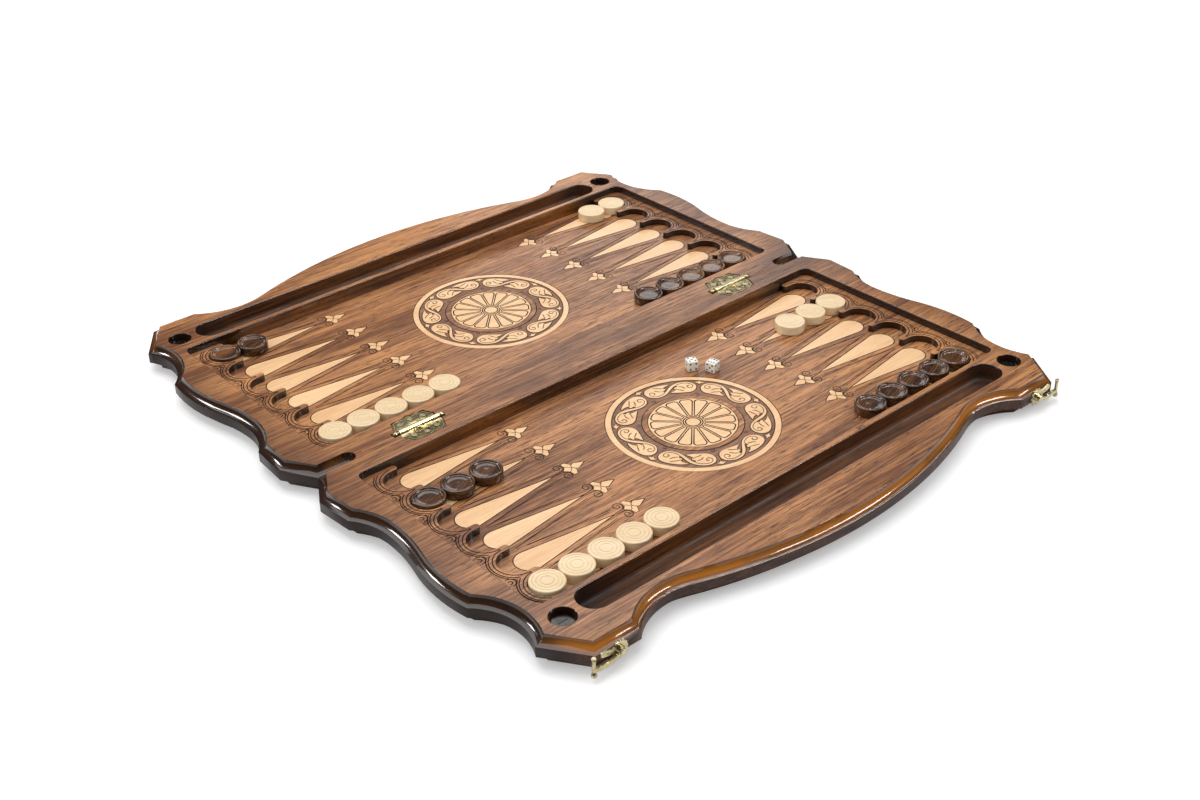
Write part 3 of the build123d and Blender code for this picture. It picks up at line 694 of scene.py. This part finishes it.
# Where the moulding, the sides and the trough of a board lie, and which faces count as flat or upright
rimValues = {
    "ridgeLevels": (25.0, 18.0, 9.0), "ridgeEase": (0.5, 0.4, 0.4), "ridgeX": 268.2, "ridgeY": 285.0,
    "sameLevel": 0.02, "ridgeAngle": 1.0, "topLevel": 24.7,
    "troughX": 241.0, "troughY": (254.0, 283.0), "troughLip": 23.4,
    "sideX": 272.0, "sideY": 294.5, "sideLevels": (8.5, 18.5), "flatUp": 0.97, "sideUp": 0.05,
}
boardLooks = ("walnutFlat", "walnutLacquer", "walnutSide", "walnutUnder", "walnutWall", "walnutDeep")


def onMoulding(place):
    return abs(place.x) > rimValues["ridgeX"] * mm or abs(place.y) > rimValues["ridgeY"] * mm


# Rounds the long ridges of the outer moulding, which catch the light
def easeRidges(bm):
    v = rimValues
    for level, ease in zip(v["ridgeLevels"], v["ridgeEase"]):
        ridges = []
        for edge in bm.edges:
            ends = [point.co for point in edge.verts]
            atLevel = all(abs(end.z - level * mm) < v["sameLevel"] * mm for end in ends)
            if not atLevel or not all(onMoulding(end) for end in ends) or len(edge.link_faces) != 2:
                continue
            if edge.calc_face_angle() > v["ridgeAngle"]:
                ridges.append(edge)
        bmesh.ops.bevel(bm, geom=ridges, offset=ease * mm, offset_type="OFFSET", segments=3, profile=0.5,
                        affect="EDGES", clamp_overlap=True, material=-1)


# The finish of a face, from its place and the way it faces
def boardLook(face):
    v = rimValues
    up = face.normal.z
    middle = face.calc_center_median()
    along, across = abs(middle.x), abs(middle.y)
    if across < seamGap * mm:
        return "walnutSide"
    inTrough = v["troughY"][0] * mm < across < v["troughY"][1] * mm and along < v["troughX"] * mm
    if inTrough and middle.z < v["troughLip"] * mm:
        return "walnutUnder" if up < -v["flatUp"] else "walnutDeep"
    if up > v["flatUp"] and (middle.z > v["topLevel"] * mm or not onMoulding(middle)):
        return "walnutFlat"
    if up < -v["flatUp"]:
        return "walnutUnder"
    low, high = v["sideLevels"]
    atSide = along > v["sideX"] * mm or across > v["sideY"] * mm
    if atSide and abs(up) < v["sideUp"] and low * mm < middle.z < high * mm:
        return "walnutSide"
    return "walnutLacquer" if onMoulding(middle) else "walnutWall"


def carveBoard(half, tools):
    bm = mergedCopy(half + "_board")
    easeRidges(bm)
    bm.normal_update()
    for face in bm.faces:
        face.material_index = boardLooks.index(boardLook(face))
    mesh = bpy.data.meshes.new("board")
    bm.to_mesh(mesh)
    bm.free()
    for look in boardLooks:
        mesh.materials.append(wood[look])
    for tool in tools:
        mesh = engrave(mesh, onHalf(tool, half), wood["paintedGrooveShade"])
    finishPiece(half + "BoardCarved", mesh, half + "_half", [half + "_board"])
    print(half, "board carved:", len(mesh.polygons), "faces")


def carveInlays(half, side, tools):
    node = f"{half}_point_inlays_{side}"
    bm = mergedCopy(node)
    mesh = bpy.data.meshes.new("inlays")
    bm.to_mesh(mesh)
    bm.free()
    mesh = painted(mesh, wood["mapleInlay"])
    for tool in tools:
        mesh = engrave(mesh, onHalf(tool, half), wood["paintedGrooveShade"])
    finishPiece(f"{half}InlaysCarved{side.capitalize()}", mesh, half + "_half", [node])


boardTools = carvingTools()
for half in ("far", "near"):
    carveBoard(half, boardTools)
    for side in ("left", "right"):
        carveInlays(half, side, boardTools[:2])
print("inlays carved")

# Dark checkers, turned with a raised rim, two steps and a shallow dish on both faces
darkCheckerValues = {
    "thickness": 9.0, "segments": 72,
    "profile": ((14.0, 4.5), (14.0, 7.9), (13.75, 8.55), (13.2, 8.93), (12.5, 8.97), (12.0, 8.75),
                (11.75, 8.15), (11.35, 7.85), (10.9, 7.95), (10.45, 8.1), (9.9, 7.9), (9.5, 7.3),
                (8.6, 7.02), (6.4, 6.85), (3.4, 6.95), (0.0, 7.05)),
}


def turnedChecker(node):
    v = darkCheckerValues
    upper = [(r * mm, 0, (z - v["thickness"] / 2) * mm) for r, z in v["profile"]]
    lower = [(r, 0, -z) for r, _, z in upper[1:]]
    bm = bmesh.new()
    points = [bm.verts.new(p) for p in list(reversed(lower)) + upper]
    edges = [bm.edges.new(pair) for pair in zip(points, points[1:])]
    bmesh.ops.spin(bm, geom=points + edges, cent=(0, 0, 0), axis=(0, 0, 1), dvec=(0, 0, 0),
                   angle=2 * math.pi, steps=v["segments"], use_merge=True, use_duplicate=False)
    bmesh.ops.remove_doubles(bm, verts=bm.verts, dist=weldGap)
    bmesh.ops.recalc_face_normals(bm, faces=bm.faces)
    mesh = bpy.data.meshes.new(node)
    bm.to_mesh(mesh)
    bm.free()
    mesh.transform(Matrix.Translation(middleOf(node)))
    return painted(mesh, nodes[node].data.materials[0])


for node in sorted(nodes):
    if node.startswith("dark_checker"):
        finishPiece("turned" + node[-2:], turnedChecker(node), node, [node])
print("dark checkers turned")

# Medallions. The scrolls are drawn for a band rolled out straight: along it, then outwards across it.
medallionValues = {
    "top": 11.5, "ground": 11.1, "base": 10.8, "under": 9.1, "radius": 74.8, "sink": 0.1,
    "outerRing": (69.2, 74.2), "band": (43.9, 68.4), "innerRing": (38.6, 43.1), "ringDrop": 0.05,
    "plateEase": 0.1, "groundEase": 0.05, "ringEase": 0.15, "carvedEase": 0.12,
    "rosette": 37.9, "hubRings": (6.4, 8.4),
    "petals": 16, "petalRadii": (10.2, 32.6, 35.9), "petalGap": 0.95, "petalTip": 0.45,
    "scrolls": 7, "scrollPhase": 36.5, "scrollMiddle": 57.2, "scale": 1.08,
    "line": 0.42, "slitDepth": 1.6, "petalLine": 0.62, "petalDepth": 1.3, "lineLift": 0.1,
    "contour": 0.8, "contourFlat": 0.25, "beadIn": 2.2, "beadRadius": 1.5, "beadWidth": 0.5,
}

# Half of one S-scroll: from the middle of the stem round its head and leaf, back to the stem
scrollHalf = [
    (-0.9, -0.9), (2.6, -4.3), (6.4, -6.9), (10.6, -8.1), (15.2, -8.1), (19.0, -6.4), (21.6, -3.0),
    (22.1, 1.0), (20.8, 4.7), (17.8, 7.2), (13.6, 8.0), (8.6, 7.9), (3.6, 7.4), (-2.2, 6.1), (1.2, 5.0),
    (3.6, 3.7), (4.9, 2.3), (3.5, 1.3), (3.7, -0.4), (5.4, -0.7), (6.7, -1.0), (6.2, -2.4), (7.2, -3.8),
    (5.0, -3.6), (0.9, 0.9),
]
scrollSlits = [
    [(6.2, -4.3, 0.9), (9.4, -5.7, 1.0), (12.6, -6.3, 1.0), (15.6, -6.0, 1.0), (18.0, -4.6, 1.0),
     (19.2, -2.3, 1.0), (18.8, 0.2, 1.0), (17.2, 1.4, 1.1), (15.3, 1.0, 1.2), (14.3, -0.7, 1.2),
     (15.0, -2.4, 1.3), (16.5, -2.3, 1.3)],
    [(7.2, -2.0, 0.9), (9.6, -0.9, 1.2), (11.6, 0.6, 1.5), (12.6, 2.6, 0.8)],
    [(4.6, 1.6, 0.9), (7.0, 3.4, 1.1), (9.4, 4.6, 1.4), (11.6, 6.2, 0.8)],
]
leafCluster = [(-3.4, 7.4), (-0.9, 6.6), (0, 4.9), (0.9, 6.6), (3.4, 7.4), (1.2, 8.6), (0, 9.7), (-1.2, 8.6)]


def ringOutline(radius, count=128):
    turns = [2 * math.pi * n / count for n in range(count)]
    return [(radius * math.cos(turn), radius * math.sin(turn)) for turn in turns]


def petalOutline(turn):
    v = medallionValues
    inner, shoulder, outer = v["petalRadii"]
    slope = math.tan(math.pi / v["petals"])
    half = shoulder * slope - v["petalGap"]
    side = [(inner, inner * slope - v["petalGap"])]
    for angle in range(0, 91, 15):
        out = shoulder + (outer - shoulder) * math.sin(math.radians(angle))
        side.append((out, half * (v["petalTip"] + (1 - v["petalTip"]) * math.cos(math.radians(angle)))))
    side.append((outer, 0))
    points = side + [(x, -y) for x, y in reversed(side[:-1])]
    c, s = math.cos(turn), math.sin(turn)
    return [(x * c - y * s, x * s + y * c) for x, y in points]


# Bends a flat drawing round the band, centred on an angle
def rolledRound(stroke, turn, flip=1):
    v = medallionValues
    placed = []
    for along, across, *rest in stroke:
        angle = turn + flip * along * v["scale"] / v["scrollMiddle"]
        radius = v["scrollMiddle"] + across * v["scale"]
        placed.append((radius * math.cos(angle), radius * math.sin(angle), *rest))
    return placed


# A denser outline through the drawn points, with the corners cut twice
def smoothLoop(points, closed=True):
    for _ in range(2):
        count = len(points)
        cut = []
        for n in range(count if closed else count - 1):
            a, b = points[n], points[(n + 1) % count]
            cut.append(tuple(0.75 * p + 0.25 * q for p, q in zip(a, b)))
            cut.append(tuple(0.25 * p + 0.75 * q for p, q in zip(a, b)))
        points = cut if closed else [points[0]] + cut + [points[-1]]
    return points


# Outlines of the light scrolls and leaves, and the lines carved into them
def bandShapes():
    v = medallionValues
    shapes, lines = [], []
    outline = smoothLoop(scrollHalf + [(-x, -y) for x, y in scrollHalf])
    slits = [smoothLoop(slit, False) for slit in scrollSlits]
    slits += [[(-x, -y, width) for x, y, width in slit] for slit in slits]
    for n in range(v["scrolls"]):
        turn = math.radians(v["scrollPhase"]) + 2 * math.pi * n / v["scrolls"]
        flip = -1 if n % 2 else 1
        shapes.append(rolledRound(outline, turn, flip))
        lines += [rolledRound(slit, turn, flip) for slit in slits]
        shapes.append(rolledRound(leafCluster, turn + math.pi / v["scrolls"]))
    return shapes, lines


# Small open rings in the ground of the band, between two scrolls
def beadRings():
    v = medallionValues
    reach = v["band"][0] + v["beadIn"]
    rings = []
    for n in range(v["scrolls"]):
        angle = math.radians(v["scrollPhase"]) + (n + 0.5) * 2 * math.pi / v["scrolls"]
        x, y = reach * math.cos(angle), reach * math.sin(angle)
        rings.append(arcPoints(x, y, v["beadRadius"], 0, 330, 11, v["beadWidth"]))
    return rings


def ringMesh(radii, low, high, ease):
    return filledMesh([ringOutline(radius) for radius in sorted(radii, reverse=True)], low, high, ease)


def medallionMesh():
    v = medallionValues
    low, top = v["base"] - v["sink"], v["top"]
    maple, walnut, grooveShade = wood["mapleInlay"], wood["walnutFlat"], wood["paintedGrooveShade"]
    # Painted shade: the plate is near-black where it shows in the gap round the outer ring
    plate = painted(filledMesh([ringOutline(v["radius"])], v["under"], v["base"], v["plateEase"]), grooveShade)
    ground = painted(ringMesh(v["band"], low, v["ground"], v["groundEase"]), wood["medallionGround"])
    outerRing = painted(ringMesh(v["outerRing"], low, top, v["ringEase"]), maple)
    innerRing = painted(ringMesh(v["innerRing"], low, top - v["ringDrop"], v["carvedEase"]), walnut)
    shapes, lines = bandShapes()
    scrolls = painted(filledMesh(shapes, low, top, v["carvedEase"]), maple)
    scrolls = engrave(scrolls, strokeMesh(lines, v["line"], top + v["lineLift"], v["slitDepth"]), grooveShade)
    loops = shapes + [ringOutline(radius) for radius in (v["outerRing"][0], *v["innerRing"])]
    # Painted shade: a dark flattened ring round the foot of every raised shape and ring
    contourShade = painted(strokeMesh(loops, v["contour"], v["ground"], v["contourFlat"], closed=True), grooveShade)
    petals = [petalOutline(2 * math.pi * (n + 0.5) / v["petals"]) for n in range(v["petals"])]
    petals += [ringOutline(radius, 64) for radius in v["hubRings"]]
    petalTool = strokeMesh(petals, v["petalLine"], top + v["lineLift"], v["petalDepth"], closed=True)
    disc = painted(filledMesh([ringOutline(v["rosette"])], low, top, v["carvedEase"]), maple)
    disc = engrave(disc, petalTool, grooveShade)
    beads = painted(strokeMesh(beadRings(), v["line"], v["ground"], closed=True), grooveShade)
    mesh = joined([plate, ground, outerRing, innerRing, scrolls, contourShade, disc, beads])
    mesh.transform(Matrix.Translation((0, boardValues["fieldMiddle"] * mm, 0)))
    return mesh


medallion = medallionMesh()
for half in ("far", "near"):
    mesh = onHalf(medallion, half)
    finishPiece(half + "MedallionCarved", mesh, half + "_half", [half + "_medallion"])
print("medallions carved:", len(medallion.polygons), "faces each")

# Scroll relief on the hinge leaves, which stays below the rim so that the case still closes
hingeValues = {
    "x": 184.0, "top": 25.0, "sunk": 24.2, "relief": 0.5, "rise": 0.26, "barrelReach": 3.4, "sameLevel": 0.05,
    "spirals": ((-13.5, 7.2, 3.0, 1), (-5.6, 6.6, 2.6, -1), (5.6, 6.6, 2.6, 1), (13.5, 7.2, 3.0, -1),
                (-8.8, 12.6, 2.8, 1), (8.8, 12.6, 2.8, -1), (0, 9.0, 2.0, 1)),
    "spiralSteps": 22, "spiralTurn": 27, "spiralShrink": 0.036,
    "border": ((-18.6, 4.6), (-19.2, 7.0), (-17.2, 10.0), (-15.0, 15.2), (-9.5, 16.6), (-4.5, 15.6),
               (0, 17.4), (4.5, 15.6), (9.5, 16.6), (15.0, 15.2), (17.2, 10.0), (19.2, 7.0), (18.6, 4.6)),
}


def spiralStroke(cx, cy, radius, hand):
    v = hingeValues
    points = []
    for n in range(v["spiralSteps"]):
        angle = math.radians(90 + hand * n * v["spiralTurn"])
        reach = radius * (1 - v["spiralShrink"] * n)
        width = 0.7 + 0.3 * math.cos(n / 7)
        points.append((cx + reach * math.cos(angle), cy + reach * math.sin(angle), width))
    return points


# A hinge leaf sunk a little, with raised scrolls up to the rim
def reliefLeaf(side, half):
    v = hingeValues
    node = f"hinge_leaf_{half}_{side}"
    bm = mergedCopy(node)
    for point in bm.verts:
        onTop = abs(point.co.z - v["top"] * mm) < v["sameLevel"] * mm
        if onTop and abs(point.co.y) > v["barrelReach"] * mm:
            point.co.z = v["sunk"] * mm
    leaf = bpy.data.meshes.new("leaf")
    bm.to_mesh(leaf)
    bm.free()
    strokes = [spiralStroke(*spiral) for spiral in v["spirals"]] + [[(x, y, 0.9) for x, y in v["border"]]]
    x = v["x"] * (-1 if side == "left" else 1)
    strokes = shifted(strokes, x, 0, 1, 1 if half == "far" else -1)
    relief = strokeMesh(strokes, v["relief"], v["sunk"] + v["rise"])
    mesh = joined([painted(leaf, reliefBrass), painted(relief, reliefBrass)])
    name = f"hingeRelief{half.capitalize()}{side.capitalize()}"
    finishPiece(name, mesh, half + "_half", [node])


for half in ("far", "near"):
    for side in ("left", "right"):
        reliefLeaf(side, half)
print("hinge leaves worked")

# Latches: lobes round each plate, a flower on the rivet, collars on the arm and a turned cap on the bar
latchValues = {
    "x": 241.5, "face": 311.0, "pivotZ": 12.6,
    "lobes": 12, "lobeRadius": 1.1, "lobeReach": 6.9, "lobeOut": 0.1,
    "petals": 8, "petalRadius": 0.72, "petalReach": 2.35, "petalOut": 4.75, "budRadius": 1.0, "budOut": 4.5,
    "arm": 2.7, "collars": ((4.9, -2.3, 1.5), (13.0, -3.8, 1.2), (19.5, -3.55, 1.2)),
    "collarWidth": 2.05, "collarDepth": 1.36, "barX": 25.5,
    "barProfile": ((0.0, 8.0), (1.2, 7.95), (1.8, 7.5), (1.8, 7.0), (1.45, 6.6), (1.7, 6.1), (1.38, 5.6)),
    "neckProfile": ((1.38, -3.9), (1.7, -4.3), (1.38, -4.7), (1.75, -5.1), (1.38, -5.5)),
}


# Small balls at places (x, y, z) in millimetres, to be sunk in what carries them
def domes(places, radius, segments=16):
    bm = bmesh.new()
    for place in places:
        where = Matrix.Translation([value * mm for value in place])
        bmesh.ops.create_uvsphere(bm, u_segments=segments, v_segments=segments // 2, radius=radius * mm,
                                  matrix=where)
    mesh = bpy.data.meshes.new("domes")
    bm.to_mesh(mesh)
    bm.free()
    return painted(mesh, brass)


def ringPlaces(count, reach, out):
    turns = [2 * math.pi * n / count for n in range(count)]
    return [(reach * math.cos(turn), reach * math.sin(turn), out) for turn in turns]


# A swelling round the arm, no thicker than the arm itself
def collarMesh(x, y, length):
    v = latchValues
    size = Matrix.Diagonal((length, v["collarWidth"], v["collarDepth"], 1))
    mesh = domes([(0, 0, 0)], 1.0, 20)
    mesh.transform(Matrix.Translation((x * mm, y * mm, v["arm"] * mm)) @ size)
    return mesh


# The cap and the rings of the crossbar, turned about its axis
def turnedBarMesh():
    v = latchValues
    bm = bmesh.new()
    for profile in (v["barProfile"], v["neckProfile"]):
        points = [bm.verts.new((radius * mm, along * mm, 0)) for radius, along in profile]
        edges = [bm.edges.new(pair) for pair in zip(points, points[1:])]
        bmesh.ops.spin(bm, geom=points + edges, cent=(0, 0, 0), axis=(0, 1, 0), dvec=(0, 0, 0),
                       angle=2 * math.pi, steps=32, use_merge=True, use_duplicate=False)
    bmesh.ops.remove_doubles(bm, verts=bm.verts, dist=weldGap)
    bmesh.ops.holes_fill(bm, edges=bm.edges, sides=0)
    bmesh.ops.recalc_face_normals(bm, faces=bm.faces)
    mesh = bpy.data.meshes.new("turnedBar")
    bm.to_mesh(mesh)
    bm.free()
    mesh.transform(Matrix.Translation((v["barX"] * mm, 0, v["arm"] * mm)))
    return painted(mesh, brass)


# Stands a mesh drawn flat at a latch: X to the corner, Y up, Z out of the face
def onLatch(mesh, side):
    v = latchValues
    sign = -1 if side == "left" else 1
    mesh = mirroredMesh(mesh, (sign, 1, 1))
    place = (sign * v["x"] * mm, -v["face"] * mm, v["pivotZ"] * mm)
    mesh.transform(Matrix.Translation(place) @ Matrix.Rotation(math.pi / 2, 4, "X"))
    return mesh


def dressLatch(side):
    v = latchValues
    lobes = domes(ringPlaces(v["lobes"], v["lobeReach"], v["lobeOut"]), v["lobeRadius"])
    petals = domes(ringPlaces(v["petals"], v["petalReach"], v["petalOut"]), v["petalRadius"])
    bud = domes([(0, 0, v["budOut"])], v["budRadius"])
    rosette = onLatch(joined([lobes, petals, bud]), side)
    finishPiece("latchRosette" + side.capitalize(), rosette, "near_half", ())
    detail = onLatch(joined([collarMesh(*collar) for collar in v["collars"]] + [turnedBarMesh()]), side)
    finishPiece("hookDetail" + side.capitalize(), detail, "latch_hook_" + side, ())


for side in ("left", "right"):
    dressLatch(side)
print("latches dressed")

# Camera, light and floor
cameraValues = {
    "place": (-0.7869, -0.9235, 0.7149), "azimuth": -41.007, "elevation": 31.5, "roll": -1.186,
    "lens": 46.724,
}


def addCamera(values):
    azimuth, elevation, roll = [math.radians(values[key]) for key in ("azimuth", "elevation", "roll")]
    level = math.cos(elevation)
    back = Vector((math.sin(azimuth) * level, -math.cos(azimuth) * level, math.sin(elevation)))
    side = Vector((0, 0, 1)).cross(back).normalized()
    up = back.cross(side)
    turnedSide = math.cos(roll) * side + math.sin(roll) * up
    turnedUp = -math.sin(roll) * side + math.cos(roll) * up
    data = bpy.data.cameras.new("camera")
    data.lens = values["lens"]
    data.sensor_width = 36
    data.clip_start = 0.01
    camera = bpy.data.objects.new("camera", data)
    scene.collection.objects.link(camera)
    facing = Matrix((turnedSide, turnedUp, back)).transposed().to_4x4()
    camera.matrix_world = Matrix.Translation(values["place"]) @ facing
    scene.camera = camera


# Lamps in metres and watts: soft ones light without a reflection, shine ones are seen in reflections alone
lampValues = {
    "overhead": {"place": (0.1, 0.5, 1.7), "aim": (0, 0, 0), "size": (1.9, 1.9), "power": 26},
    "left": {"place": (-1.7, 0.1, 0.9), "aim": (0, 0, 0), "size": (1.2, 1.2), "power": 9, "soft": True},
    "right": {"place": (1.2, -1.5, 1.0), "aim": (0, 0, 0), "size": (1.2, 1.2), "power": 8, "soft": True},
    "shineRight": {"place": (0.9, -0.95, 1.1), "aim": (0.9, 0, 0), "size": (0.9, 0.22), "power": 16,
                   "shine": True},
    "shineTop": {"place": (1.15, 0.1, 1.3), "aim": (1.15, 0, 0), "size": (1.3, 0.06), "power": 4,
                 "shine": True},
    "shineLeft": {"place": (-0.95, 1.15, 1.0), "aim": (0, 0, 0), "size": (0.34, 0.34), "power": 9,
                  "shine": True},
    "sheen": {"place": (2.4, 2.5, 1.5), "aim": (0, 0, 0), "size": (1.3, 1.3), "power": 8, "shine": True},
}
studioValues = {
    "world": 0.50, "worldShine": 0.07,
    "floorColour": 0.82, "floorLift": 0.28, "floorSize": 6, "floorDrop": 0.2,
}


def addLamp(name, look):
    data = bpy.data.lights.new(name, "AREA")
    data.shape = "RECTANGLE"
    data.size, data.size_y = look["size"]
    data.energy = look["power"]
    lamp = bpy.data.objects.new(name, data)
    scene.collection.objects.link(lamp)
    lamp.visible_camera = False
    lamp.visible_diffuse = "shine" not in look
    lamp.visible_glossy = "soft" not in look
    lamp.location = look["place"]
    towards = Vector(look["place"]) - Vector(look["aim"])
    lamp.rotation_euler = towards.to_track_quat("Z", "Y").to_euler()


# The world is white to the camera, plainer on the object and dim in reflections
def addWorld(values):
    world = bpy.data.worlds.new("studio")
    scene.world = world
    world.use_nodes = True
    tree = world.node_tree
    background = tree.nodes["Background"]
    path = addNode(tree, "ShaderNodeLightPath")
    shineStep = values["worldShine"] - values["world"]
    shine = mathNode(tree, "MULTIPLY", path.outputs["Is Glossy Ray"], shineStep)
    seen = mathNode(tree, "MULTIPLY", path.outputs["Is Camera Ray"], 1 - values["world"])
    strength = mathNode(tree, "ADD", mathNode(tree, "ADD", seen, shine), values["world"])
    background.inputs["Color"].default_value = (1, 1, 1, 1)
    tree.links.new(strength, background.inputs["Strength"])


def addFloor(values):
    mesh = bpy.data.meshes.new("floor")
    bm = bmesh.new()
    bmesh.ops.create_grid(bm, x_segments=1, y_segments=1, size=values["floorSize"])
    bm.to_mesh(mesh)
    bm.free()
    floor = bpy.data.objects.new("floor", mesh)
    scene.collection.objects.link(floor)
    material = bpy.data.materials.new("paleFloor")
    material.use_nodes = True
    tree = material.node_tree
    shader = tree.nodes["Principled BSDF"]
    shader.inputs["Base Color"].default_value = (values["floorColour"],) * 3 + (1,)
    shader.inputs["Roughness"].default_value = 0.9
    shader.inputs["Specular IOR Level"].default_value = 0.1
    path = addNode(tree, "ShaderNodeLightPath")
    lift = mathNode(tree, "MULTIPLY", path.outputs["Is Camera Ray"], values["floorLift"])
    shader.inputs["Emission Color"].default_value = (1, 1, 1, 1)
    tree.links.new(lift, shader.inputs["Emission Strength"])
    floor.data.materials.append(material)
    floor.location = (0, 0, -values["floorDrop"] * mm)


addCamera(cameraValues)
for name, look in lampValues.items():
    addLamp(name, look)
addWorld(studioValues)
addFloor(studioValues)
scene.view_settings.view_transform = "Standard"
print("camera, lights and floor placed")
